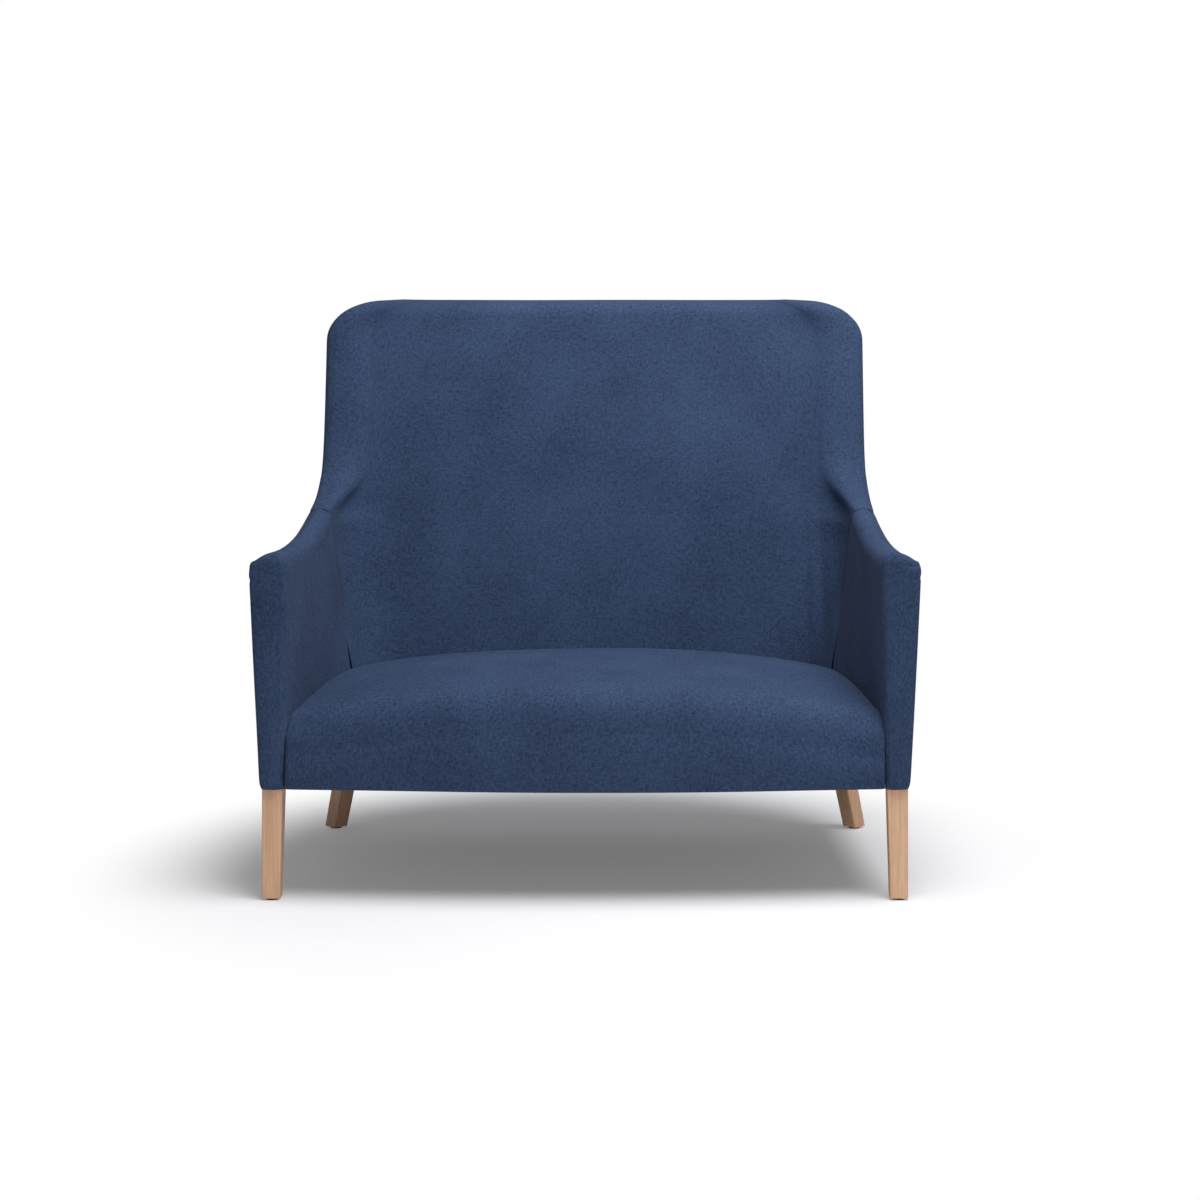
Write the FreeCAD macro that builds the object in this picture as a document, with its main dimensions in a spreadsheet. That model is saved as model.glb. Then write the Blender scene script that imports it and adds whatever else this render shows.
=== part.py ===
"""High back settee: tight upholstery over a hardwood frame on four oak legs.

Millimetres, +Z up, the front faces -Y, and X = 0 is the plane of symmetry.
The origin is on the floor under the middle of the settee's box.
Depths are measured back from the front face of the arm posts.
"""
import FreeCAD
import Part
import Sketcher
import math
import os
import re

Vector = FreeCAD.Vector
Rotation = FreeCAD.Rotation
Placement = FreeCAD.Placement

SIZES = [
    # overall
    ("overall_depth", 790.0, "front of the seat's bow to the rear of the top edge"),
    ("top_height", 1190.0, "floor to the top edge of the back"),
    ("under_height", 215.0, "floor to the underside of the upholstery"),
    # seat
    ("front_bow", 35.0, "how far the middle of the seat front stands ahead of its ends"),
    ("front_bulge", 5.0, "swell of the padded seat front"),
    ("seat_height", 427.0, "floor to the seat at the inside back, on the centre line"),
    ("seat_crown", 12.0, "rise of the seat between its front roll and its back"),
    ("seat_fall", 40.0, "how much lower the seat is at seat_fall_at from the centre line"),
    ("seat_fall_at", 500.0, "where seat_fall is measured"),
    ("seat_fall_power", 2.6, "how late the seat falls towards its sides"),
    ("seat_front_edge", 98.0, "height of the rounded front edge of the seat"),
    ("seat_front_roll", 70.0, "depth of the rounded front edge of the seat"),
    ("seat_side_gap", 0.5, "clearance between the seat and the arms and back"),
    # back
    ("back_half_width", 600.0, "centre line to the side of the back"),
    ("back_corner_width", 130.0, "rounded top corner, across"),
    ("back_corner_height", 90.0, "rounded top corner, down"),
    ("back_roll", 36.0, "roll of the top edge"),
    ("inside_back_start", 495.0, "depth of the inside back at the underside level"),
    ("inside_back_lean", 9.7, "lean of the inside back in degrees"),
    ("outside_back_start", 695.0, "depth of the outside back at the underside level"),
    ("rear_corner_width", 105.0, "rounded rear corner, across"),
    ("rear_corner_depth", 100.0, "rounded rear corner, in depth"),
    ("inner_corner_width", 180.0, "hollow corner inside the back, from the outside"),
    ("wing_width", 47.0, "thickness of the back's side edge"),
    ("wing_base_width", 90.0, "thickness of the side at the seat"),
    ("wing_base_level", 390.0, "level up to which the side is thickest"),
    ("wing_full_level", 660.0, "level from which the side has its least thickness"),
    ("wing_flare", 6.0, "how far the sides spread from the back to the arms"),
    ("wing_line", 590.0, "depth of the side edge at wing_line_level"),
    ("wing_line_level", 860.0, "level where wing_line is measured"),
    ("wing_line_lean", 9.2, "lean of the side edge in degrees"),
    ("sweep_level", 742.0, "height of the arm where the side edge starts to climb"),
    ("sweep_reach", 121.0, "how far the arm's end stands ahead of the side edge"),
    ("sweep_height", 38.0, "height over which the side edge turns upright"),
    ("wing_nose", 26.0, "rounding of the side edge, in depth"),
    ("sweep_round", 34.0, "the same over the sweep, in height"),
    ("lip_spread", 70.0, "width of the soft slope from the side edge into the back"),
    ("lip_dip", 30.0, "hollow of the back up to which the slope is widest"),
    ("lip_fade", 80.0, "further hollow over which the slope narrows"),
    # arms
    ("arm_length", 450.0, "arm front to the seam with the back"),
    ("arm_height", 671.0, "height of the arm at its front"),
    ("arm_rise_power", 2.8, "how late the arm rises towards the back"),
    ("arm_outer_bottom", 630.5, "centre line to the outside of the arm at its foot"),
    ("arm_outer_top", 651.3, "centre line to the outside of the arm at its top"),
    ("arm_inner_bottom", 578.5, "centre line to the inside of the arm at the seat"),
    ("arm_inner_top", 571.0, "centre line to the inside of the arm at its top"),
    ("arm_crest", 0.32, "place of the highest line across the arm front, from inside"),
    ("arm_crest_rear", 0.5, "the same at the seam with the back"),
    ("arm_shoulder_drop", 38.0, "height of the arm's outer rounding"),
    ("arm_shoulder_in", 12.0, "width of the tight part of the outer rounding"),
    ("arm_shoulder_low", 16.0, "drop of the tight part of the outer rounding"),
    ("arm_inner_drop", 35.0, "height of the arm's inner rounding"),
    ("arm_edge_round", 14.0, "rounding of the arm front's edges"),
    ("arm_foot_in", 3.0, "eased bottom corner of the arm, across"),
    ("arm_foot_up", 14.0, "eased bottom corner of the arm, up"),
    # layers
    ("cover", 2.5, "cover fabric with its wadding"),
    ("cover_hem", 6.0, "depth of the seam between inside and outside covers"),
    ("seat_hem", 8.0, "straight part of the seat front over its lower edge"),
    ("seam_overlap", 50.0, "how far the shape of the back runs on inside the arms"),
    ("flare_over", 60.0, "where the spread of the sides ends, above the sweep"),
    ("flare_span", 90.0, "height over which the spread grows"),
    ("back_foam_depth", 45.0, "foam on the inside back"),
    ("side_foam", 16.0, "foam on the insides of the arms and wings"),
    ("edge_foam", 20.0, "foam over the top edges"),
    ("front_foam", 5.0, "foam on the arm fronts"),
    ("rail_foam", 10.0, "foam on the front rail"),
    ("fit_gap", 0.3, "gap between curved layers"),
    # frame
    ("frame_lift", 2.0, "underside of the covers to the underside of the frame"),
    ("board", 28.0, "thickness of the seat rails"),
    ("rail_height", 105.0, "height of the seat rails"),
    ("post_in", 584.0, "centre line to the inside of the front posts"),
    ("post_width", 38.5, "width of the front posts"),
    ("post_start", 8.5, "depth of the front of the posts"),
    ("post_depth", 42.0, "depth of the front posts"),
    ("side_rail_in", 566.0, "centre line to the inside of the side rails"),
    ("rear_rail_start", 575.0, "depth of the front of the rear seat rail"),
    ("base_rail_height", 60.0, "height of the rail that the outside back is fixed to"),
    ("base_rail_depth", 26.0, "thickness of that rail"),
    ("brace_drop", 26.0, "top of the rails to the top of the centre brace"),
    ("block_half", 480.0, "centre line to the rear corner blocks"),
    ("upright_out", 520.0, "centre line to the outside of the outer uprights"),
    ("upright_width", 30.0, "width of the uprights"),
    ("upright_depth", 34.0, "depth of the uprights"),
    ("upright_top", 1106.0, "floor to the top of the uprights"),
    ("top_rail_height", 32.0, "height of the top rail"),
    ("lower_rail_level", 398.0, "floor to the underside of the lower back rail"),
    ("lower_rail_height", 45.0, "height of the lower back rail"),
    ("arm_board_drop", 62.0, "arm height to the underside of the arm board"),
    ("arm_board_height", 26.0, "thickness of the arm board"),
    ("wing_panel", 15.0, "thickness of the wing panels"),
    ("wing_panel_in", 24.8, "side of the back to the inside of the wing panels"),
    ("wing_panel_rear", 705.0, "depth of the rear of the wing panels"),
    ("wing_panel_top", 1080.0, "floor to the top of the wing panels"),
    ("block_drop", 20.0, "top of the rails to the top of the front corner blocks"),
    ("rail_clear", 2.0, "edge of the covers' lower hem ahead of the front rail"),
    ("corner_block", 62.0, "length of a front corner block along the rails"),
    ("lining", 2.0, "thickness of the arm lining board"),
    # springs and webbing
    ("spring_wire", 3.8, "wire of the seat springs"),
    ("spring_lift", 0.05, "gap between a seat spring and the rails"),
    ("spring_loop", 48.0, "width of a seat spring"),
    ("spring_turns", 26.0, "bends in a seat spring"),
    ("spring_count", 8.0, "seat springs"),
    ("spring_spacing", 112.0, "between seat springs"),
    ("clip_width", 20.0, "width of a spring clip"),
    ("clip_depth", 12.0, "depth of a spring clip"),
    ("clip_wall", 1.5, "thickness of a spring clip"),
    ("hessian", 1.0, "thickness of the spring cloth"),
    ("cloth_edge", 2.0, "front rail's face to the front of the spring cloth"),
    ("cloth_rear_edge", 15.0, "rear of the spring cloth to the rear rail"),
    ("strap_width", 50.0, "width of a back strap"),
    ("strap_thick", 2.0, "thickness of a back strap"),
    ("strap_count", 7.0, "straps across the back"),
    ("strap_low", 470.0, "floor to the middle of the lowest strap"),
    ("strap_pitch", 96.0, "between straps"),
    # legs
    ("leg_top", 40.0, "front leg at its top, square"),
    ("leg_foot", 34.0, "front leg at the glide, square"),
    ("leg_start", 9.0, "depth of the front of the front legs"),
    ("leg_out", 623.0, "centre line to the outside of the front legs"),
    ("rear_leg_top", 40.0, "rear leg at its top, square"),
    ("rear_leg_foot", 36.0, "rear leg at the glide, square"),
    ("rear_leg_x", 540.0, "centre line to the middle of the rear leg's top"),
    ("rear_leg_y", 653.0, "depth of the middle of the rear leg's top"),
    ("rear_leg_splay", 63.0, "how far the rear leg's foot stands out, on the diagonal"),
    ("leg_edge", 1.6, "rounding of the legs' edges"),
    ("glide_height", 4.0, "thickness of a glide"),
    ("glide_across", 24.0, "diameter of a glide"),
    ("bolt_across", 8.0, "diameter of a leg bolt"),
    ("bolt_hole", 8.4, "hole for a leg bolt"),
    ("bolt_half", 38.0, "how far a leg bolt goes into each piece"),
    ("bolt_end", 1.0, "hole left at the end of a leg bolt"),
    # underside
    ("dust_sheet", 1.0, "thickness of the cloth under the frame"),
    ("dust_margin", 9.0, "edge of the dust sheet inside the covers"),
    ("dust_side", 4.0, "how far the dust sheet reaches over the side rails"),
    ("dust_corner", 104.0, "corner cut off the dust sheet at the rear legs"),
]

doc = FreeCAD.newDocument("settee")
sheet = doc.addObject("Spreadsheet::Sheet", "sizes")
for row, (alias, value, meaning) in enumerate(SIZES, start=1):
    sheet.set("A%d" % row, alias)
    sheet.set("B%d" % row, repr(value))
    sheet.setAlias("B%d" % row, alias)
    sheet.set("C%d" % row, meaning)
doc.recompute()

names = [alias for alias, value, meaning in SIZES]
made = []


def size(alias):
    return float(getattr(sheet, alias))


def bound(text):
    """An expression with each named size pointed at the sheet."""
    return re.sub(r"[a-z][a-z_]+[a-z]", lambda word: "sizes." + word.group(0)
                  if word.group(0) in names else word.group(0), text)


def plane_of(body, role):
    for feature in body.Origin.OriginFeatures:
        if feature.Role == role:
            return feature


def keep(obj, label):
    obj.Label = label
    made.append(obj)
    return obj


# Places that several pieces share, in millimetres

front = -size("overall_depth") / 2 + size("front_bow") + size("front_bulge")
FRONT = "(-overall_depth/2+front_bow+front_bulge)"
under = size("under_height")
frame_bottom = under + size("frame_lift")
BOTTOM = "(under_height+frame_lift)"
rail_top = frame_bottom + size("rail_height")
RAIL_TOP = "(under_height+frame_lift+rail_height)"
deck = rail_top + size("spring_wire") + size("clip_wall") + 2 * size("fit_gap")
foam_bottom = deck + size("hessian") + size("fit_gap")
PAST = 12.0
SEAT_PAST = 95.0
OPEN = -30.0
OPEN_CORE = -20.0
FEATHER = 1.0
NOSE_SHARE = 0.3
CORNER_SHARE = 0.55
INNER_SHARE = 0.6
LIP_SHARE = 0.35
LEAST_SHARE = 0.1
SWEEP_STEPS = (0.0, 0.6, 1.2, 1.9, 3.0, 4.6, 7.0)
ROLL_SHARES = (0.0, 0.4, 0.7, 0.88, 0.97, 1.0)
EDGE_SHARES = (0.0, 0.12, 0.4, 1.0)
LENGTH_SHARES = (0.2, 0.4, 0.6, 0.8, 1.0)
SEAT_SHARES = (0.25, 0.5, 0.7, 0.84, 0.93, 0.98, 1.0)
PEAK_SHARE = 0.7


def slope(alias):
    return math.tan(math.radians(size(alias)))


def inside_back(level):
    return size("inside_back_start") + (level - under) * slope("inside_back_lean")


def outside_back(level):
    rear = size("overall_depth") - size("front_bow") - size("front_bulge")
    run = min(1.0, (level - under) / (size("top_height") - size("back_roll") - under))
    return size("outside_back_start") + run * (rear - size("outside_back_start"))


def side_edge(level):
    """Depth of the side edge of the back: it sweeps forward into the arm."""
    upright = size("wing_line") + (level - size("wing_line_level")) * slope("wing_line_lean")
    sweep = size("sweep_reach") * math.exp((size("sweep_level") - level) / size("sweep_height"))
    return max(upright - sweep, size("arm_length") - size("seam_overlap"))


def nose_round(level):
    """Rounding of the side edge in depth: over the sweep it is as low as the arm's."""
    return max(size("wing_nose"), side_edge(level + size("sweep_round")) - side_edge(level))


def side_width(level):
    """Thickness of the side of the back, greatest at the seat."""
    span = size("wing_full_level") - size("wing_base_level")
    low = min(1.0, max(0.0, (size("wing_full_level") - level) / span))
    return size("wing_width") + low * (size("wing_base_width") - size("wing_width"))


def side_flare(level):
    """The sides spread a little from the back to the arms, below the sweep."""
    end = size("sweep_level") + size("flare_over")
    return size("wing_flare") * min(1.0, max(0.0, (end - level) / size("flare_span")))


def arm_top(depth):
    run = max(0.0, depth) / size("arm_length")
    rise = size("sweep_level") - size("arm_height")
    return size("arm_height") + rise * run ** size("arm_rise_power")


def seat_top(across):
    fall = size("seat_fall") * (abs(across) / size("seat_fall_at")) ** size("seat_fall_power")
    return size("seat_height") - fall


def seat_front(across):
    return -size("front_bow") * (1 - (across / size("arm_inner_bottom")) ** 2)


# Outlines made of lines and of eased corners, so that layers stay parallel

def turn(start, corner, end):
    """An eased corner from start to end, tangent to both sides at the corner point."""
    curve = Part.BezierCurve()
    curve.setPoles([start, corner, end])
    return curve.toShape()


def line(start, end):
    return Part.LineSegment(start, end).toShape()


def rounded_over(amount, run):
    """How far a quarter round has drawn in after a share of its height."""
    run = min(1.0, max(0.0, run))
    return amount * (1 - math.sqrt(1 - run * run))


def back_section(level, out, side, face, over):
    """The back cut level: a wide flat hollow with a rounded edge at each side."""
    corner_start = size("top_height") - size("back_corner_height")
    corner_run = (level - corner_start) / (size("back_corner_height") - over)
    roll_start = size("top_height") - size("back_roll")
    roll_run = (level - roll_start) / (size("back_roll") - over)
    pinch = rounded_over(size("back_roll") - over, roll_run)
    drawn_in = rounded_over(size("back_corner_width") - out, corner_run)
    half = size("back_half_width") - drawn_in
    bare_rear = front + outside_back(level) - pinch
    bare_nose = front + side_edge(level) + pinch
    rear = bare_rear - out
    nose = bare_nose + side
    bare_hollow = front + inside_back(level) + pinch
    hollow = bare_hollow + face
    dip = bare_hollow - bare_nose
    outer = half - out
    tip = outer + side_flare(level)
    inner = half - side_width(level) + side
    room = bare_rear - bare_nose
    nose_y = max(bare_nose + min(nose_round(level), room * NOSE_SHARE), nose + FEATHER)
    corner_y = bare_rear - min(size("rear_corner_depth"), room * CORNER_SHARE)
    corner_y = max(corner_y, nose_y + FEATHER)
    corner_x = half - size("rear_corner_width")
    hollow_x = half - size("inner_corner_width")
    shallow = 1 - (dip - size("lip_dip")) / size("lip_fade")
    spread = size("lip_spread") * min(1.0, max(0.0, shallow))
    lip_x = inner - spread * LIP_SHARE
    foot_x = inner - spread
    middle = (tip + inner) / 2 - spread * NOSE_SHARE
    turned = min(nose_round(level) / dip, INNER_SHARE)

    def at(x, y):
        return Vector(x, y, level)

    right = [
        (corner_x, rear), (outer, rear), (outer, corner_y),
        (tip, nose_y), (tip, nose), (middle, nose), (lip_x, nose),
        (lip_x + turned * (foot_x - lip_x), nose + turned * (hollow - nose)),
        (foot_x, hollow), (hollow_x, hollow),
    ]
    r = [at(x, y) for x, y in right]
    m = [at(-x, y) for x, y in right]
    edges = [
        line(m[0], r[0]),
        turn(r[0], r[1], r[2]),
        line(r[2], r[3]),
        turn(r[3], r[4], r[5]),
        turn(r[5], r[6], r[7]),
        turn(r[7], r[8], r[9]),
        line(r[9], m[9]),
        turn(m[9], m[8], m[7]),
        turn(m[7], m[6], m[5]),
        turn(m[5], m[4], m[3]),
        line(m[3], m[2]),
        turn(m[2], m[1], m[0]),
    ]
    return Part.Wire(edges)


def back_levels(low, over):
    top = size("top_height")
    roll = size("back_roll") - over
    sweep = size("sweep_level")
    climb = size("sweep_height")
    levels = [low, size("wing_base_level"), size("wing_full_level"), sweep - climb]
    levels += [sweep + climb * step for step in SWEEP_STEPS]
    levels += [top - size("back_corner_height")]
    start = top - size("back_roll")
    levels += [start + roll * share for share in ROLL_SHARES]
    return levels


def back_solid(out, side, face, over, low):
    wires = [back_section(level, out, side, face, over) for level in back_levels(low, over)]
    return Part.makeLoft(wires, True, True)


def arm_section(depth, out, inside, over, ahead, low):
    """The right arm cut across: a slim panel that flares to a rounded top."""
    run = max(0.0, min(1.1, depth / size("arm_length")))
    edge = size("arm_edge_round") - max(0.0, ahead)
    draw = rounded_over(edge, 1 - (depth - ahead) / edge)
    rear_outer = size("back_half_width") + size("wing_flare")
    rear_inner = size("back_half_width") - size("wing_width")
    rear_base = size("back_half_width") - size("wing_base_width")

    def along(first, last):
        return first + (last - first) * run

    foot = along(size("arm_outer_bottom"), rear_outer) - out - draw
    shoulder = along(size("arm_outer_top"), rear_outer) - out - draw
    inner = along(size("arm_inner_top"), rear_inner) + inside + draw
    base = along(size("arm_inner_bottom"), rear_base) + inside + draw
    full = arm_top(depth) - draw
    top = full - over
    crest = inner + along(size("arm_crest"), size("arm_crest_rear")) * (shoulder - inner)
    y = front + depth

    def at(x, z):
        return Vector(x, y, z)

    drop = size("arm_shoulder_drop")
    share = max(LEAST_SHARE, 1 - over / drop)
    tight = at(shoulder - size("arm_shoulder_in") * share,
               full - drop + (drop - size("arm_shoulder_low")) * share)
    points = [
        at(foot - size("arm_foot_in"), low),
        at(foot, under + size("arm_foot_up")),
        at(shoulder, full - drop),
        at(crest, top),
        at(inner, full - size("arm_inner_drop")),
        at(base, size("wing_base_level")),
        at(base, low),
    ]
    edges = [
        line(points[0], points[1]),
        line(points[1], points[2]),
        turn(points[2], at(shoulder, tight.z), tight),
        turn(tight, at((tight.x + crest) / 2, top), points[3]),
        turn(points[3], at(inner, top), points[4]),
        line(points[4], points[5]),
        line(points[5], points[6]),
        line(points[6], points[0]),
    ]
    return Part.Wire(edges)


def arm_solid(out, inside, over, ahead, low, past=0.0):
    """The right arm, its layer set in by the given amounts."""
    length = size("arm_length")
    edge = size("arm_edge_round") - max(0.0, ahead)
    depths = [ahead + edge * share for share in EDGE_SHARES]
    depths += [length * share for share in LENGTH_SHARES]
    if past:
        depths.append(length + past)
    wires = [arm_section(depth, out, inside, over, ahead, low) for depth in depths]
    return Part.makeLoft(wires, True, True)


def box(x0, x1, y0, y1, z0, z1):
    return Part.makeBox(x1 - x0, y1 - y0, z1 - z0, Vector(x0, y0, z0))


def mirrored(shape):
    return shape.mirror(Vector(0, 0, 0), Vector(1, 0, 0))


def single(shape, label):
    """The one solid that a cut left, or an error that says what came out."""
    solids = [s for s in shape.Solids if s.Volume > 1.0]
    if len(solids) != 1:
        raise RuntimeError("%s has %d solids" % (label, len(solids)))
    return solids[0]


def feature(label, shape):
    obj = doc.addObject("Part::Feature", label)
    obj.Shape = shape
    return keep(obj, label)

# Seat

def seat_section(across, inset, low):
    """The seat cut from front to back: padded front, rolled edge, soft crown."""
    top = seat_top(across) - inset
    face = front + seat_front(across) + inset
    edge = top - size("seat_front_edge")
    roll = face + size("seat_front_roll") - inset
    rear = front + size("inside_back_start") + SEAT_PAST
    rise = size("seat_crown")

    def at(y, z):
        return Vector(across, y, z)

    hem_line = at(face, under + size("seat_hem"))
    brow = at(face, edge)
    bulge = at(face - size("front_bulge"), (under + edge) / 2)
    crown = at(roll, top - rise)
    peak = at(front + size("arm_length") * PEAK_SHARE, top + rise)
    back = at(rear, top - rise)
    edges = [
        line(at(face, low), hem_line),
        Part.Arc(hem_line, bulge, brow).toShape(),
        turn(brow, at(face, top - rise), crown),
        Part.Arc(crown, peak, back).toShape(),
        line(back, at(rear, low)),
        line(at(rear, low), at(face, low)),
    ]
    return Part.Wire(edges)


def seat_solid(inset, gap, low):
    """The seat between the arms and the back, its layer set in by the inset."""
    half = size("arm_inner_bottom") - 2 * size("seat_side_gap") - inset
    places = [half * share for share in SEAT_SHARES]
    stations = [-x for x in reversed(places)] + [0.0] + places
    block = Part.makeLoft([seat_section(x, inset, low) for x in stations], True, True)
    arm = arm_solid(-gap, -gap, -gap, -gap, under - 2 * PAST, PAST)
    back = back_solid(-gap, -gap, -gap, -gap, under - 2 * PAST)
    return block.cut(arm).cut(mirrored(arm)).cut(back)


def bowed_plate(ahead, half, rear, low, high):
    """A level plate whose front edge follows the bow of the seat front."""
    y = front + ahead
    arc = Part.Arc(Vector(-half, y, low), Vector(0, y - size("front_bow"), low), Vector(half, y, low))
    corners = [Vector(half, y, low), Vector(half, front + rear, low),
               Vector(-half, front + rear, low), Vector(-half, y, low)]
    edges = [arc.toShape()] + [line(a, b) for a, b in zip(corners, corners[1:])]
    return Part.Face(Part.Wire(edges)).extrude(Vector(0, 0, high - low))


cover = size("cover")
gap = size("fit_gap")
side_gap = size("seat_side_gap")
upright_top = size("upright_top")
low = under - PAST
seam = front + size("arm_length")
WIDE = size("arm_outer_top") + 100
FAR = size("overall_depth") + 100
TALL = size("top_height") + 100

# Back: covers and foam

seam_block = box(-WIDE, WIDE, front - WIDE, seam, 0, TALL)
deck_space = box(-size("side_rail_in"), size("side_rail_in"), front, front + size("rear_rail_start"),
                 0, foam_bottom)
back_outer = back_solid(0, 0, 0, 0, under)
back_hide = back_outer.cut(back_solid(cover, cover, cover, cover, low)).cut(seam_block)
hem = size("cover_hem")
back_seam = back_solid(hem, OPEN, OPEN, OPEN, low)
inside_back_cover = back_hide.common(back_seam).cut(deck_space)
feature("inside_back_cover", single(inside_back_cover, "inside_back_cover"))
outside_cover = back_hide.cut(back_seam)
panel_line = [Vector(0, seam - 1, 0),
              Vector(0, front + outside_back(0) - size("rear_corner_depth"), 0),
              Vector(0, front + outside_back(upright_top) - size("rear_corner_depth"), upright_top),
              Vector(0, seam - 1, upright_top)]
side_space = Part.Face(Part.makePolygon(panel_line + panel_line[:1])).extrude(Vector(WIDE, 0, 0))
wing_cover = single(outside_cover.common(side_space), "outside_wing_cover")
outside_cover = outside_cover.cut(side_space).cut(mirrored(side_space))
feature("outside_back_cover", single(outside_cover, "outside_back_cover"))

skin = cover + gap
back_pad = back_solid(skin, skin, skin, skin, frame_bottom)
back_hollow = back_solid(OPEN_CORE, cover + size("side_foam"), cover + size("back_foam_depth"),
                         cover + size("edge_foam"), low)
back_foam = back_pad.cut(back_hollow).cut(seam_block).cut(deck_space)
feature("back_foam", single(back_foam, "back_foam"))
back_core = back_solid(skin, skin + size("side_foam"), skin + size("back_foam_depth"),
                       skin + size("edge_foam"), low)

# Arms: covers, foam and lining

post_rear = front + size("post_start") + size("post_depth")
post_in = size("post_in")
rail_face = cover + size("rail_foam")
rail_gap = front + rail_face - size("rail_clear")
arm_deck = box(0, post_in - gap, rail_gap, seam + 1, 0, foam_bottom)
rail_space = box(0, size("arm_outer_bottom") - cover - gap, post_rear, seam + 1, 0, foam_bottom)
post_space = box(post_in - gap, post_in + size("post_width") + gap, front + size("post_start") - gap,
                 post_rear + gap, 0, size("arm_height") - size("arm_board_drop") + gap)
arm_outer = arm_solid(0, 0, 0, 0, under)
arm_hide = arm_outer.cut(arm_solid(cover, cover, cover, cover, low, PAST))
arm_seam = arm_solid(hem, OPEN, OPEN, OPEN, low, PAST)
arm_inside = single(arm_hide.common(arm_seam).cut(arm_deck), "inside_arm_cover")
arm_outside = single(arm_hide.cut(arm_seam), "outside_arm_cover")
arm_pad = arm_solid(skin, skin, skin, skin, frame_bottom)
arm_hollow = arm_solid(OPEN_CORE, cover + size("side_foam"), cover + size("edge_foam"),
                       cover + size("front_foam"), low, PAST)
arm_foam = arm_pad.cut(arm_hollow).cut(arm_deck).cut(rail_space).cut(post_space)
arm_foam = single(arm_foam, "arm_foam")
arm_core = arm_solid(skin, skin + size("side_foam"), skin + size("edge_foam"),
                     skin + size("front_foam"), low)
lining_face = skin + size("side_foam")
board_low = size("arm_height") - size("arm_board_drop")
lining_over = (cover + size("edge_foam"), cover + size("front_foam"))
lining = arm_solid(OPEN_CORE, lining_face, *lining_over, low).cut(
    arm_solid(OPEN_CORE + OPEN, lining_face + size("lining"), *lining_over, low, PAST))
lining = lining.common(box(0, WIDE, post_rear + gap, seam, foam_bottom + gap, board_low - gap))
lining = single(lining, "arm_lining")
board_blank = box(0, WIDE, front + size("post_start"), seam - gap, board_low,
                  board_low + size("arm_board_height"))
arm_board = single(board_blank.common(arm_core), "arm_board")
panel_in = size("back_half_width") - size("wing_panel_in")
panel = box(panel_in, panel_in + size("wing_panel"), seam, front + size("wing_panel_rear"),
            rail_top, size("wing_panel_top"))
wing_panel = single(panel.common(back_core).cut(back_foam), "wing_panel")
block = box(size("block_half"), WIDE, front + size("rear_rail_start"), front + FAR, frame_bottom, rail_top)
leg_bolt = Part.makeCylinder(size("bolt_hole") / 2, size("bolt_half") + size("bolt_end"),
                             Vector(size("rear_leg_x"), front + size("rear_leg_y"), frame_bottom))
rear_block = single(block.common(back_core).cut(leg_bolt), "rear_block")

for side, turned in (("right", False), ("left", True)):
    pieces = (("outside_wing_cover", wing_cover),
              ("inside_arm_cover", arm_inside), ("outside_arm_cover", arm_outside),
              ("arm_foam", arm_foam), ("arm_lining", lining), ("arm_board", arm_board),
              ("wing_panel", wing_panel), ("rear_corner_block", rear_block))
    for name, shape in pieces:
        feature(name + "_" + side, mirrored(shape) if turned else shape)

# Seat: cover, foam and spring cloth

seat_hide = seat_solid(0, side_gap, under).cut(seat_solid(cover, side_gap + cover, low))
under_seat = box(-WIDE, WIDE, rail_gap, front + FAR, 0, foam_bottom)
feature("seat_cover", single(seat_hide.cut(under_seat), "seat_cover"))
seat_foam = seat_solid(skin, side_gap + skin, frame_bottom)
rail_room = bowed_plate(rail_face, post_in, FAR, 0, foam_bottom)
feature("seat_foam", single(seat_foam.cut(rail_room), "seat_foam"))
cloth_start = rail_face + size("cloth_edge")
cloth_end = size("rear_rail_start") - size("cloth_rear_edge")
feature("spring_cloth", bowed_plate(cloth_start, size("side_rail_in") - 1, cloth_end,
                                    deck, deck + size("hessian")))
dust_half = size("side_rail_in") + size("dust_side")
rear_edge = front + size("outside_back_start") - cover - size("dust_margin")
dust = bowed_plate(cover + size("dust_margin"), dust_half, rear_edge - front,
                   frame_bottom - size("dust_sheet"), frame_bottom)
hole = size("rear_leg_top") + 2 * FEATHER
corner = dust_half + FEATHER
rear_line = rear_edge + FEATHER
cut_in = size("dust_corner")
for x in (-1, 1):
    blank = Part.makeBox(hole, hole, under)
    blank.translate(Vector(-hole / 2, -hole / 2, PAST))
    blank.rotate(Vector(0, 0, 0), Vector(0, 0, 1), 45)
    blank.translate(Vector(x * size("rear_leg_x"), front + size("rear_leg_y"), 0))
    clip = [Vector(x * corner, rear_line - cut_in, low), Vector(x * corner, rear_line, low),
            Vector(x * (corner - cut_in), rear_line, low)]
    wedge = Part.Face(Part.makePolygon(clip + clip[:1])).extrude(Vector(0, 0, 2 * PAST))
    dust = dust.cut(blank).cut(wedge)
feature("dust_sheet_cloth", single(dust, "dust_sheet_cloth"))


# Boards, posts and legs are bodies with a sketched outline and a pad

def place(obj, x, y, z):
    for axis, text in zip("xyz", (x, y, z)):
        obj.setExpression("Placement.Base." + axis, bound(text))


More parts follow.
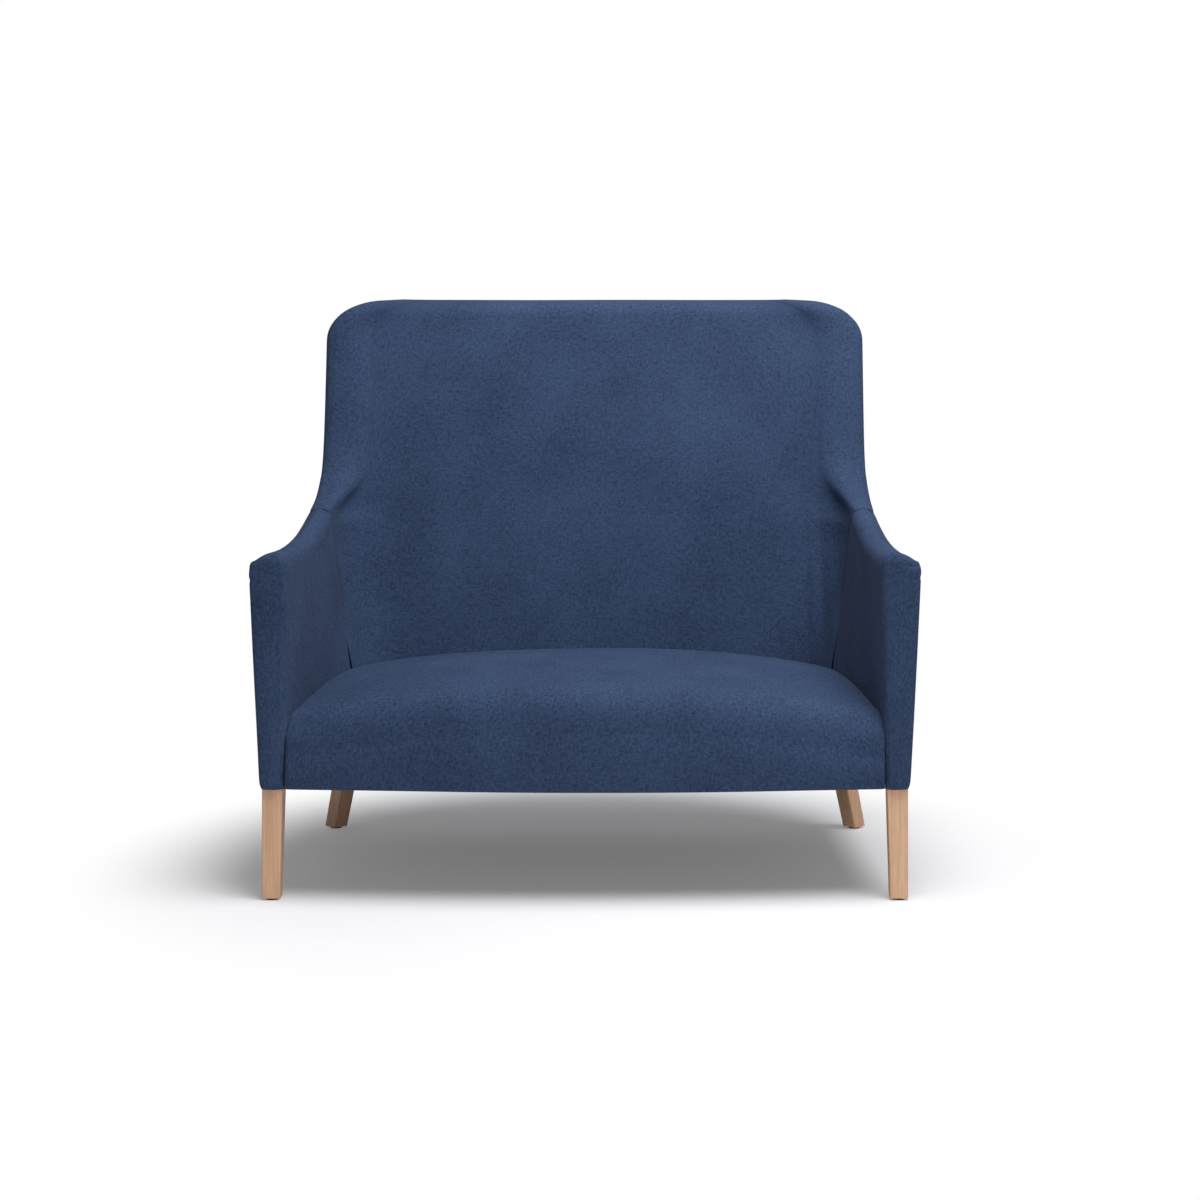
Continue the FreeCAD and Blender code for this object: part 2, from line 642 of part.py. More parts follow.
def sketched(body, name, role, corners, lift=None):
    """A closed outline through corners given as expressions, all at or above zero."""
    sketch = body.newObject("Sketcher::SketchObject", name)
    sketch.AttachmentSupport = [(plane_of(body, role), "")]
    sketch.MapMode = "FlatFace"
    if lift:
        sketch.setExpression("AttachmentOffset.Base.z", bound(lift))
    count = len(corners)
    for i in range(count):
        a = Vector(10 * math.cos(2 * math.pi * i / count), 10 * math.sin(2 * math.pi * i / count), 0)
        b = Vector(10 * math.cos(2 * math.pi * (i + 1) / count),
                   10 * math.sin(2 * math.pi * (i + 1) / count), 0)
        sketch.addGeometry(Part.LineSegment(a, b), False)
    for i in range(count):
        sketch.addConstraint(Sketcher.Constraint("Coincident", i, 2, (i + 1) % count, 1))
    for i, (x, y) in enumerate(corners):
        at_x = sketch.addConstraint(Sketcher.Constraint("DistanceX", -1, 1, i, 1, 5.0 + i))
        sketch.setExpression("Constraints[%d]" % at_x, bound(x))
        at_y = sketch.addConstraint(Sketcher.Constraint("DistanceY", -1, 1, i, 1, 5.0 + i))
        sketch.setExpression("Constraints[%d]" % at_y, bound(y))
    return sketch


def rectangle(x, y, dx, dy):
    return [(x, y), ("%s+%s" % (x, dx), y), ("%s+%s" % (x, dx), "%s+%s" % (y, dy)), (x, "%s+%s" % (y, dy))]


def board(label, at, outline, thick, role="XY_Plane"):
    """A body with one sketched outline padded to its thickness."""
    body = doc.addObject("PartDesign::Body", label)
    sketch = sketched(body, label + "_outline", role, outline)
    pad = body.newObject("PartDesign::Pad", label + "_pad")
    pad.Profile = sketch
    pad.setExpression("Length", bound(thick))
    place(body, *at)
    return keep(body, label)


def drill(body, name, role, x, y, hole, deep, reverse, lift=None):
    """A round hole; the volume it takes away shows that it points inwards."""
    doc.recompute()
    before = body.Shape.Volume
    sketch = body.newObject("Sketcher::SketchObject", name)
    sketch.AttachmentSupport = [(plane_of(body, role), "")]
    sketch.MapMode = "FlatFace"
    if lift:
        sketch.setExpression("AttachmentOffset.Base.z", bound(lift))
    sketch.addGeometry(Part.Circle(Vector(10, 10, 0), Vector(0, 0, 1), 4.0), False)
    radius = sketch.addConstraint(Sketcher.Constraint("Radius", 0, 4.0))
    sketch.setExpression("Constraints[%d]" % radius, bound(hole + "/2"))
    at_x = sketch.addConstraint(Sketcher.Constraint("DistanceX", -1, 1, 0, 3, 10.0))
    sketch.setExpression("Constraints[%d]" % at_x, bound(x))
    at_y = sketch.addConstraint(Sketcher.Constraint("DistanceY", -1, 1, 0, 3, 10.0))
    sketch.setExpression("Constraints[%d]" % at_y, bound(y))
    pocket = body.newObject("PartDesign::Pocket", name + "_pocket")
    pocket.Profile = sketch
    pocket.setExpression("Length", bound(deep))
    pocket.Reversed = reverse
    doc.recompute()
    if not 10 < before - body.Shape.Volume < before / 2:
        raise RuntimeError("%s cut nothing" % name)


# Seat frame

RAIL_FACE = "(cover+rail_foam+fit_gap)"
BOW_RADIUS = "((post_in*post_in+front_bow*front_bow)/(2*front_bow))"


def bowed_rail(label):
    """The front rail: both faces follow the bow of the seat front."""
    body = doc.addObject("PartDesign::Body", label)
    sketch = body.newObject("Sketcher::SketchObject", label + "_outline")
    sketch.AttachmentSupport = [(plane_of(body, "XY_Plane"), "")]
    sketch.MapMode = "FlatFace"
    half = size("post_in")
    bow = size("front_bow")
    thick = size("board")
    for shift in (0.0, thick):
        arc = Part.Arc(Vector(0, bow + shift, 0), Vector(half, shift, 0), Vector(2 * half, bow + shift, 0))
        sketch.addGeometry(arc, False)
    sketch.addGeometry(Part.LineSegment(Vector(0, bow, 0), Vector(0, bow + thick, 0)), False)
    sketch.addGeometry(Part.LineSegment(Vector(2 * half, bow, 0), Vector(2 * half, bow + thick, 0)), False)
    constrain = Sketcher.Constraint
    for arc, end, post in ((0, 1, 1), (1, 1, 2)):
        sketch.addConstraint(constrain("Coincident", arc, end, 2, post))
        sketch.addConstraint(constrain("Coincident", arc, 3 - end, 3, post))
    for edge, point, x, y in ((2, 1, "0", "front_bow"), (2, 2, "0", "front_bow+board"),
                              (3, 1, "2*post_in", "front_bow"), (3, 2, "2*post_in", "front_bow+board")):
        number = sketch.addConstraint(constrain("DistanceX", -1, 1, edge, point,
                                                0.0 if x == "0" else 2 * half))
        if x != "0":
            sketch.setExpression("Constraints[%d]" % number, bound(x))
        number = sketch.addConstraint(constrain("DistanceY", -1, 1, edge, point,
                                                bow if point == 1 else bow + thick))
        sketch.setExpression("Constraints[%d]" % number, bound(y))
    for arc in (0, 1):
        number = sketch.addConstraint(constrain("Radius", arc, (half * half + bow * bow) / (2 * bow)))
        sketch.setExpression("Constraints[%d]" % number, bound(BOW_RADIUS))
    pad = body.newObject("PartDesign::Pad", label + "_pad")
    pad.Profile = sketch
    pad.setExpression("Length", bound("rail_height"))
    place(body, "-post_in", FRONT + "+" + RAIL_FACE + "-front_bow", BOTTOM)
    return keep(body, label)


front_rail = bowed_rail("front_rail")
rear_rail = board("rear_rail", ("-block_half", FRONT + "+rear_rail_start", BOTTOM),
                  rectangle("0", "0", "2*block_half", "board"), "rail_height")
board("outside_back_rail",
      ("-block_half", FRONT + "+outside_back_start-cover-2*fit_gap-base_rail_depth", BOTTOM),
      rectangle("0", "0", "2*block_half", "base_rail_depth"), "base_rail_height")
BRACE_START = "(cover+rail_foam+2*fit_gap+board-front_bow)"
board("centre_brace", ("-board/2", FRONT + "+" + BRACE_START, BOTTOM),
      rectangle("0", "0", "board", "rear_rail_start-" + BRACE_START), "rail_height-brace_drop")
RAIL_LENGTH = "(rear_rail_start-post_start-post_depth)"
posts = {}
for side, rail_x, post_x in (("right", "side_rail_in", "post_in"),
                             ("left", "-side_rail_in-board", "-post_in-post_width")):
    board("side_rail_" + side, (rail_x, FRONT + "+post_start+post_depth", BOTTOM),
          rectangle("0", "0", "board", RAIL_LENGTH), "rail_height")
    posts[side] = board("arm_post_" + side, (post_x, FRONT + "+post_start", BOTTOM),
                        rectangle("0", "0", "post_width", "post_depth"),
                        "arm_height-arm_board_drop-" + BOTTOM)

inner_face = rail_face + gap + size("board") + gap
block_x = size("side_rail_in") - gap
block_in = block_x - size("corner_block")
blocks = []
block_y = front + seat_front(block_x) + inner_face
for x in (-1, 1):
    near = [Vector(x * block_x, block_y, frame_bottom),
            Vector(x * block_x, block_y + size("corner_block"), frame_bottom),
            Vector(x * block_in, front + seat_front(block_in) + inner_face, frame_bottom)]
    wedge = Part.Face(Part.makePolygon(near + near[:1]))
    blocks.append(wedge.extrude(Vector(0, 0, size("rail_height") - size("block_drop"))))
feature("front_corner_blocks", Part.makeCompound(blocks))

# Back frame

LEAN = "tan(inside_back_lean*1deg)"
BEHIND = "(cover+back_foam_depth+2*fit_gap+strap_thick/cos(inside_back_lean*1deg))"
INSIDE = "(inside_back_start+frame_lift*" + LEAN + "+rail_height*" + LEAN + ")"
UPRIGHT_RISE = "(upright_top-" + RAIL_TOP + ")"
UPRIGHT = [("0", "0"), ("upright_depth", "0"),
           ("upright_depth+" + UPRIGHT_RISE + "*" + LEAN, UPRIGHT_RISE),
           (UPRIGHT_RISE + "*" + LEAN, UPRIGHT_RISE)]
for name, x in (("back_upright_right", "upright_out-upright_width"),
                ("back_upright_centre", "-upright_width/2"),
                ("back_upright_left", "-upright_out")):
    board(name, (x, FRONT + "+" + INSIDE + "+" + BEHIND, RAIL_TOP), UPRIGHT, "upright_width", "YZ_Plane")
LOWER_FACE = ("(inside_back_start+(lower_rail_level+lower_rail_height-under_height)*" + LEAN + "+"
              + BEHIND + ")")
for side, x in (("right", "upright_width/2"), ("left", "-upright_out+upright_width")):
    board("lower_back_rail_" + side, (x, FRONT + "+" + LOWER_FACE, "lower_rail_level"),
          rectangle("0", "0", "upright_out-1.5*upright_width", "board"), "lower_rail_height")

rail_front = front + inside_back(upright_top) + cover + size("back_foam_depth") + size("strap_thick")
top_blank = box(-panel_in + gap, panel_in - gap, rail_front + FEATHER, front + FAR,
                upright_top, upright_top + size("top_rail_height"))
feature("top_rail", single(top_blank.common(back_core), "top_rail"))


# Legs, with their glides and bolts

LEG = "(under_height+frame_lift-glide_height)"


def leg(label, at, foot, top, turned):
    body = doc.addObject("PartDesign::Body", label)
    low = sketched(body, label + "_foot", "XY_Plane", foot)
    high = sketched(body, label + "_top", "XY_Plane", top, LEG)
    loft = body.newObject("PartDesign::AdditiveLoft", label + "_taper")
    loft.Profile = low
    loft.Sections = [high]
    loft.Ruled = True
    place(body, *at)
    body.Placement.Rotation = Rotation(Vector(0, 0, 1), turned)
    return keep(body, label)


def end_square(x, y, across):
    """A square with its four corners eased."""
    near_x = "%s+leg_edge" % x
    near_y = "%s+leg_edge" % y
    far_x = "%s+%s" % (x, across)
    far_y = "%s+%s" % (y, across)
    return [(near_x, y), (far_x + "-leg_edge", y), (far_x, near_y), (far_x, far_y + "-leg_edge"),
            (far_x + "-leg_edge", far_y), (near_x, far_y), (x, far_y + "-leg_edge"), (x, near_y)]


TAPER = "(leg_top-leg_foot)"
REAR_TAPER = "(rear_leg_top-rear_leg_foot)"
REAR_FOOT_X = "rear_leg_splay+" + REAR_TAPER + "/2"
HALF_DIAGONAL = "(rear_leg_top*sqrt(0.5))"
legs = {}
legs["front_right"] = leg("front_leg_right", ("leg_out-leg_top", FRONT + "+leg_start", "glide_height"),
                          end_square(TAPER, "0", "leg_foot"), end_square("0", "0", "leg_top"), 0)
legs["front_left"] = leg("front_leg_left", ("-leg_out", FRONT + "+leg_start", "glide_height"),
                         end_square("0", "0", "leg_foot"), end_square("0", "0", "leg_top"), 0)
legs["rear_right"] = leg("rear_leg_right",
                         ("rear_leg_x", FRONT + "+rear_leg_y-" + HALF_DIAGONAL, "glide_height"),
                         end_square(REAR_FOOT_X, REAR_TAPER + "/2", "rear_leg_foot"),
                         end_square("0", "0", "rear_leg_top"), 45)
legs["rear_left"] = leg("rear_leg_left",
                        ("-rear_leg_x+" + HALF_DIAGONAL, FRONT + "+rear_leg_y", "glide_height"),
                        end_square(REAR_FOOT_X, REAR_TAPER + "/2", "rear_leg_foot"),
                        end_square("0", "0", "rear_leg_top"), 135)
for name, across in (("front_right", "leg_top"), ("front_left", "leg_top"),
                     ("rear_right", "rear_leg_top"), ("rear_left", "rear_leg_top")):
    drill(legs[name], name + "_bolt_hole", "XY_Plane", across + "/2", across + "/2", "bolt_hole",
          "bolt_half+bolt_end", False, LEG)
BOLT_IN_POST = "leg_out-leg_top/2-post_in"
drill(posts["right"], "post_hole_right", "XY_Plane", BOLT_IN_POST, "leg_start+leg_top/2-post_start",
      "bolt_hole", "bolt_half+bolt_end", True)
drill(posts["left"], "post_hole_left", "XY_Plane", "post_width-(" + BOLT_IN_POST + ")",
      "leg_start+leg_top/2-post_start", "bolt_hole", "bolt_half+bolt_end", True)


def rods(label, rows, hole, length):
    """A group of round pieces, each placed by the sizes that place its neighbours."""
    links = []
    for number, (x, y, z) in enumerate(rows):
        rod = doc.addObject("Part::Cylinder", "%s_%d" % (label, number))
        rod.setExpression("Radius", bound(hole + "/2"))
        rod.setExpression("Height", bound(length))
        place(rod, x, y, z)
        links.append(rod)
    group = doc.addObject("Part::Compound", label)
    group.Links = links
    return keep(group, label)


FRONT_LEG_Y = FRONT + "+leg_start+leg_top/2"
REAR_LEG_Y = FRONT + "+rear_leg_y"
rods("leg_bolts", [("leg_out-leg_top/2", FRONT_LEG_Y, BOTTOM + "-bolt_half"),
                   ("-leg_out+leg_top/2", FRONT_LEG_Y, BOTTOM + "-bolt_half"),
                   ("rear_leg_x", REAR_LEG_Y, BOTTOM + "-bolt_half"),
                   ("-rear_leg_x", REAR_LEG_Y, BOTTOM + "-bolt_half")], "bolt_across", "2*bolt_half")
FOOT_SHIFT = "rear_leg_splay*sqrt(0.5)"
rods("leg_glides", [("leg_out-leg_foot/2", FRONT + "+leg_start+leg_foot/2", "0"),
                    ("-leg_out+leg_foot/2", FRONT + "+leg_start+leg_foot/2", "0"),
                    ("rear_leg_x+" + FOOT_SHIFT, REAR_LEG_Y + "+" + FOOT_SHIFT, "0"),
                    ("-rear_leg_x-" + FOOT_SHIFT, REAR_LEG_Y + "+" + FOOT_SHIFT, "0")],
     "glide_across", "glide_height")

# Seat springs, their clips and the back straps

turns = int(round(size("spring_turns")))
count = int(round(size("spring_count")))
springs = []
clips = []
wire = size("spring_wire")
level = rail_top + wire / 2 + size("spring_lift")
rear_clip = front + size("rear_rail_start") + size("board") / 2
for number in range(count):
    x = (number - (count - 1) / 2) * size("spring_spacing")
    front_clip = front + seat_front(x) + rail_face + gap + size("board") / 2
    bend = (rear_clip - front_clip) / (2 * turns)
    reach = size("spring_loop") / 2 - bend
    edges = []
    way = 1 if x > 0 else -1
    start_x = x - way * reach
    for step in range(turns + 1):
        y = front_clip + 2 * bend * step
        edges.append(line(Vector(x - way * reach, y, level), Vector(x + way * reach, y, level)))
        if step < turns:
            edges.append(Part.Arc(Vector(x + way * reach, y, level),
                                  Vector(x + way * (reach + bend), y + bend, level),
                                  Vector(x + way * reach, y + 2 * bend, level)).toShape())
        way = -way
    path = Part.Wire(edges)
    ring = Part.makeCircle(wire / 2, Vector(start_x, front_clip, level), Vector(1, 0, 0))
    spring = path.makePipeShell([Part.Wire([ring])], True, False)
    springs.append(spring)
    for y in (front_clip, rear_clip):
        tall = wire + 2 * gap + size("clip_wall")
        half = size("clip_depth") / 2
        wide = min(size("clip_width"), 2 * reach) / 2
        saddle = box(x - wide, x + wide, y - half, y + half, rail_top, rail_top + tall - gap)
        channel = box(x - wide - PAST, x + wide + PAST, y - wire / 2 - gap, y + wire / 2 + gap,
                      rail_top - PAST, rail_top + wire + gap)
        clips.append(saddle.cut(channel))
feature("seat_springs", Part.makeCompound(springs))
feature("spring_clips", Part.makeCompound(clips))

lean = size("inside_back_lean")
straps = []
for number in range(int(round(size("strap_count")))):
    z = size("strap_low") + number * size("strap_pitch") - size("strap_width") / 2
    strap = Part.makeBox(2 * size("upright_out"), size("strap_thick"), size("strap_width"))
    strap.rotate(Vector(0, 0, 0), Vector(1, 0, 0), -lean)
    y = front + inside_back(z) + cover + size("back_foam_depth") + gap
    strap.translate(Vector(-size("upright_out"), y, z))
    straps.append(strap)
feature("back_straps", Part.makeCompound(straps))

doc.recompute()
for obj in doc.Objects:
    if "Invalid" in obj.State or "Error" in obj.State:
        raise RuntimeError("%s did not compute: %s" % (obj.Name, obj.State))
os.makedirs("parts", exist_ok=True)
for obj in made:
    shape = obj.Shape
    if shape.isNull() or not shape.isValid() or not shape.Solids:
        raise RuntimeError("%s has no valid shape" % obj.Label)
    shape.exportStep("parts/%s.step" % obj.Label)
whole = Part.makeCompound([obj.Shape for obj in made])
print("nodes", len(made), "box", whole.BoundBox)
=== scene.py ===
"""High back settee: fabric covers, seams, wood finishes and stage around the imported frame."""

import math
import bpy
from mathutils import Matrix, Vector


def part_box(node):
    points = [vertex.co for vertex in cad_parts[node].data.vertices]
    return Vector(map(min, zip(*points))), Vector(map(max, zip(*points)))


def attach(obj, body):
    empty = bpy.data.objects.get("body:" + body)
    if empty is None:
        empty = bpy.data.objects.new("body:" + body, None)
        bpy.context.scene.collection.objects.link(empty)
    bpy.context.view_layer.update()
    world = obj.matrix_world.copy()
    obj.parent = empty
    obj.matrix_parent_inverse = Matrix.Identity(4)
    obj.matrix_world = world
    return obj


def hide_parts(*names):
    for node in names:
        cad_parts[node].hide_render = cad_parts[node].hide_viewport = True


bl_info = {
    "name": "High Back Settee",
    "version": (1, 0, 0),
    "blender": (4, 5, 0),
    "location": "View3D > Sidebar > Settee",
    "description": "Builds the upholstery and finishes of a high back settee",
    "category": "Object",
}

from contextlib import contextmanager
from functools import partial

import bmesh
import bpy
import numpy as np
from bpy.props import FloatProperty, FloatVectorProperty, PointerProperty
from mathutils import Vector

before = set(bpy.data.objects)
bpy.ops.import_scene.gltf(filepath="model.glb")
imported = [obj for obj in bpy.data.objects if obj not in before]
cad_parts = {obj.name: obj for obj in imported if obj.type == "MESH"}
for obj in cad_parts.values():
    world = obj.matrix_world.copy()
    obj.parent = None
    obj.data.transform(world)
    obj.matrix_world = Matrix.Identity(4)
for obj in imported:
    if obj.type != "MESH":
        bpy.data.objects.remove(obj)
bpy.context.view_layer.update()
BODY = "root"
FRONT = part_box("inside_arm_cover_right")[0].y
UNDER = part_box("outside_arm_cover_right")[0].z
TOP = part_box("inside_back_cover")[1].z
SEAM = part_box("inside_arm_cover_right")[1].y
ARM_LENGTH = SEAM - FRONT

# Sizes of the covers' curves, in metres and degrees

INSIDE_START, INSIDE_LEAN = 0.495, 9.7
OUTSIDE_START, OUTSIDE_RUN = 0.695, 0.055
SIDE_LINE, SIDE_LEVEL, SIDE_LEAN = 0.590, 0.860, 9.2
SWEEP_REACH, SWEEP_LEVEL, SWEEP_HEIGHT, SWEEP_ROUND = 0.121, 0.742, 0.038, 0.034
SEAM_OVERLAP = 0.050
NOSE = 0.026
LIP_SPREAD, LIP_DIP, LIP_FADE = 0.070, 0.030, 0.125
REAR_CORNER_DEPTH, REAR_CORNER_WIDTH, INNER_CORNER_WIDTH = 0.100, 0.105, 0.180
FLARE, FLARE_TOP, FLARE_RUN = 0.006, 0.802, 0.090
ARM_EDGE = 0.014
ARM_REAR = 0.606
ARM_FOOT, ARM_SHOULDER = 0.6305, 0.6513
ARM_INNER_FOOT, ARM_INNER_TOP, ARM_INNER_LEVEL = 0.5785, 0.571, 0.390
SEAM_TOP_LEVEL = 1.154


# What a user would change

class SetteeForm(bpy.types.PropertyGroup):
    """Sizes of the upholstery"""
    back_half_width: FloatProperty(name="Back half width", description="Centre line to the side of the back",
                                   default=0.600, unit="LENGTH")
    back_corner_width: FloatProperty(name="Top corner width", description="Rounded top corner, across",
                                     default=0.130, unit="LENGTH")
    back_corner_height: FloatProperty(name="Top corner height", description="Rounded top corner, down",
                                      default=0.090, unit="LENGTH")
    back_roll: FloatProperty(name="Top roll", description="Roll of the top edge", default=0.036,
                             unit="LENGTH")
    wing_width: FloatProperty(name="Side edge", description="Thickness of the back's side edge",
                              default=0.047, unit="LENGTH")
    wing_base_width: FloatProperty(name="Side base", description="Thickness of the side at the seat",
                                   default=0.090, unit="LENGTH")
    arm_height: FloatProperty(name="Arm height", description="Height of the arm at its front",
                              default=0.671, unit="LENGTH")
    arm_rear_height: FloatProperty(name="Arm rear height", description="Height of the arm at the back",
                                   default=0.742, unit="LENGTH")
    seat_height: FloatProperty(name="Seat height", description="Height of the seat at the back",
                               default=0.427, unit="LENGTH")
    seat_crown: FloatProperty(name="Seat crown", description="Rise of the seat between front and back",
                              default=0.012, unit="LENGTH")
    seat_fall: FloatProperty(name="Seat fall", description="Fall of the seat towards its sides",
                             default=0.040, unit="LENGTH")
    front_bow: FloatProperty(name="Front bow", description="Bow of the seat front", default=0.035,
                             unit="LENGTH")
    cover: FloatProperty(name="Cover", description="Thickness of the cover", default=0.0025, unit="LENGTH")
    tuck: FloatProperty(name="Seam tuck", description="Depth of the valley at a seam", default=0.0022,
                        unit="LENGTH")


class SetteeLook(bpy.types.PropertyGroup):
    """Colours and scale of the finishes"""
    fabric_light: FloatVectorProperty(name="Light yarn", description="Colour of the lighter yarns",
                                      subtype="COLOR", default=(0.060, 0.103, 0.202))
    fabric_dark: FloatVectorProperty(name="Dark yarn", description="Colour of the darker yarns",
                                     subtype="COLOR", default=(0.014, 0.024, 0.062))
    yarn: FloatProperty(name="Yarn", description="Distance between two yarns", default=0.0021, unit="LENGTH")
    mottle: FloatProperty(name="Mottle", description="Size of the mottling", default=0.006, unit="LENGTH")
    oak_light: FloatVectorProperty(name="Oak", description="Colour of the oak", subtype="COLOR",
                                   default=(0.74, 0.47, 0.29))
    oak_dark: FloatVectorProperty(name="Oak grain", description="Colour of the oak's grain",
                                  subtype="COLOR", default=(0.53, 0.29, 0.17))
    floor: FloatVectorProperty(name="Floor", description="Colour of the floor", subtype="COLOR",
                               default=(0.90, 0.90, 0.93))


# The curves of the back, the arms and the seat

def slope(degrees):
    return math.tan(math.radians(degrees))


def clamped(value):
    return min(1.0, max(0.0, value))


def inside_back(level):
    return INSIDE_START + (level - UNDER) * slope(INSIDE_LEAN)


def outside_back(level):
    run = np.minimum(1.0, (level - UNDER) / (TOP - 0.036 - UNDER))
    return OUTSIDE_START + run * OUTSIDE_RUN


def side_edge(level):
    upright = SIDE_LINE + (level - SIDE_LEVEL) * slope(SIDE_LEAN)
    sweep = SWEEP_REACH * math.exp((SWEEP_LEVEL - level) / SWEEP_HEIGHT)
    return max(upright - sweep, ARM_LENGTH - SEAM_OVERLAP)


def nose_round(level):
    """Rounding of the side edge in depth: over the sweep it is as low as the arm's."""
    return max(NOSE, side_edge(level + SWEEP_ROUND) - side_edge(level))


def rounded_over(amount, run):
    run = clamped(run)
    return amount * (1 - math.sqrt(1 - run * run))


def straight(start, end, shares):
    shares = np.asarray(shares)[:, None]
    return np.asarray(start) * (1 - shares) + np.asarray(end) * shares


def eased(start, corner, end, count):
    t = (np.arange(count) / count)[:, None]
    start, corner, end = np.asarray(start), np.asarray(corner), np.asarray(end)
    return (1 - t) ** 2 * start + 2 * t * (1 - t) * corner + t ** 2 * end


def even(count):
    return np.arange(count) / count


QUARTER = 46
SIDE_SEAM = 38
REAR_SEAM = 26


def back_outline(form, level):
    """The back cut level, from the middle of its rear round to the rear again."""
    corner_run = (level - (TOP - form.back_corner_height)) / form.back_corner_height
    roll_run = (level - (TOP - form.back_roll)) / form.back_roll
    pinch = rounded_over(form.back_roll, roll_run)
    half = form.back_half_width - rounded_over(form.back_corner_width, corner_run)
    rear = FRONT + outside_back(level) - pinch
    nose = FRONT + side_edge(level) + pinch
    hollow = FRONT + inside_back(level) + pinch
    low = clamped((0.660 - level) / 0.270)
    width = form.wing_width + low * (form.wing_base_width - form.wing_width)
    tip = half + FLARE * clamped((FLARE_TOP - level) / FLARE_RUN)
    inner = half - width
    room = rear - nose
    dip = hollow - nose
    nose_y = nose + min(nose_round(level), room * 0.3)
    corner_y = max(rear - min(REAR_CORNER_DEPTH, room * 0.55), nose_y + 0.001)
    corner_x = half - REAR_CORNER_WIDTH
    hollow_x = half - INNER_CORNER_WIDTH
    spread = LIP_SPREAD * clamped(1 - (dip - LIP_DIP) / LIP_FADE)
    lip_x = inner - spread * 0.35
    foot_x = inner - spread
    middle = (tip + inner) / 2 - spread * 0.3
    turned = min(nose_round(level) / dip, 0.6)
    turn_x = lip_x + turned * (foot_x - lip_x)
    turn_y = nose + turned * dip
    right = np.vstack([
        straight((0, rear), (corner_x, rear), even(14)),
        eased((corner_x, rear), (half, rear), (half, corner_y), 12),
        straight((half, corner_y), (tip, nose_y), even(12)),
        eased((tip, nose_y), (tip, nose), (middle, nose), 8),
        eased((middle, nose), (lip_x, nose), (turn_x, turn_y), 8),
        eased((turn_x, turn_y), (foot_x, hollow), (hollow_x, hollow), 22),
        straight((hollow_x, hollow), (0, hollow), even(16)),
        [(0, hollow)],
    ])
    left = right[-2::-1] * (-1, 1)
    return np.vstack([right, left])


def back_rows():
    rows = list(np.linspace(0.330, 0.660, 12)) + list(np.linspace(0.680, 0.900, 23))
    rows += list(np.linspace(0.925, 1.090, 8))
    rows += [1.100, 1.110, 1.120, 1.130, 1.140, 1.148, SEAM_TOP_LEVEL, 1.160, 1.166, 1.172, 1.178,
             1.183, 1.1865, 1.189, TOP]
    return rows


def arm_outline(form, depth):
    """The arm cut across, from the outer foot over its top to the inner foot."""
    run = depth / ARM_LENGTH
    draw = rounded_over(ARM_EDGE, 1 - depth / ARM_EDGE)

    def along(first, last):
        return first + (last - first) * run

    foot = along(ARM_FOOT, ARM_REAR) - draw
    shoulder = along(ARM_SHOULDER, ARM_REAR) - draw
    inner = along(ARM_INNER_TOP, form.back_half_width - form.wing_width) + draw
    base = along(ARM_INNER_FOOT, form.back_half_width - form.wing_base_width) + draw
    top = form.arm_height + (form.arm_rear_height - form.arm_height) * run ** 2.8 - draw
    crest = inner + along(0.32, 0.5) * (shoulder - inner)
    square = 0.006 * run ** 8
    tight = (shoulder - 0.012 + square, top - 0.016 + square)
    fine = np.arange(16) * 0.003 / (top - 0.038 - UNDER)
    coarse = np.linspace(fine[-1] + 0.02, 1.0, 13)[:-1]
    down = np.concatenate([fine, coarse])
    outer = np.vstack([
        eased((crest, top), ((tight[0] + crest) / 2, top), tight, 8),
        eased(tight, (shoulder, tight[1]), (shoulder, top - 0.038), 6),
        straight((shoulder, top - 0.038), (foot, UNDER + 0.014), down),
        straight((foot, UNDER + 0.014), (foot - 0.003, UNDER), (0.0, 0.5, 1.0)),
    ])
    inside = np.vstack([
        eased((crest, top), (inner, top), (inner, top - 0.035), 14),
        straight((inner, top - 0.035), (base, ARM_INNER_LEVEL),
                 np.concatenate([fine * 1.6, np.linspace(0.36, 0.95, 8)])),
        straight((base, ARM_INNER_LEVEL), (base, UNDER), np.linspace(0, 1, len(outer) - 38)),
    ])
    return outer, inside


def arm_rows():
    rows = [0.0, 0.0006, 0.002, 0.0045, 0.008, 0.014, 0.022, 0.032]
    return rows + list(np.linspace(0.050, ARM_LENGTH, 22))


# Meshes

def added(name, data):
    piece = bpy.data.objects.new(name, data)
    bpy.context.scene.collection.objects.link(piece)
    return piece


@contextmanager
def opened(piece):
    """A piece's mesh, open for edits."""
    work = bmesh.new()
    work.from_mesh(piece.data)
    yield work
    work.to_mesh(piece.data)
    work.free()


def pushed(amounts):
    """Moves points along their normals, all at once."""
    moves = [(v, v.normal * amount) for v, amount in amounts]
    for v, move in moves:
        v.co += move


def lengths(points, axis):
    steps = np.linalg.norm(np.diff(points, axis=axis), axis=2)
    pad = np.zeros_like(np.take(steps, [0], axis=axis))
    return np.concatenate([pad, np.cumsum(steps, axis=axis)], axis=axis)


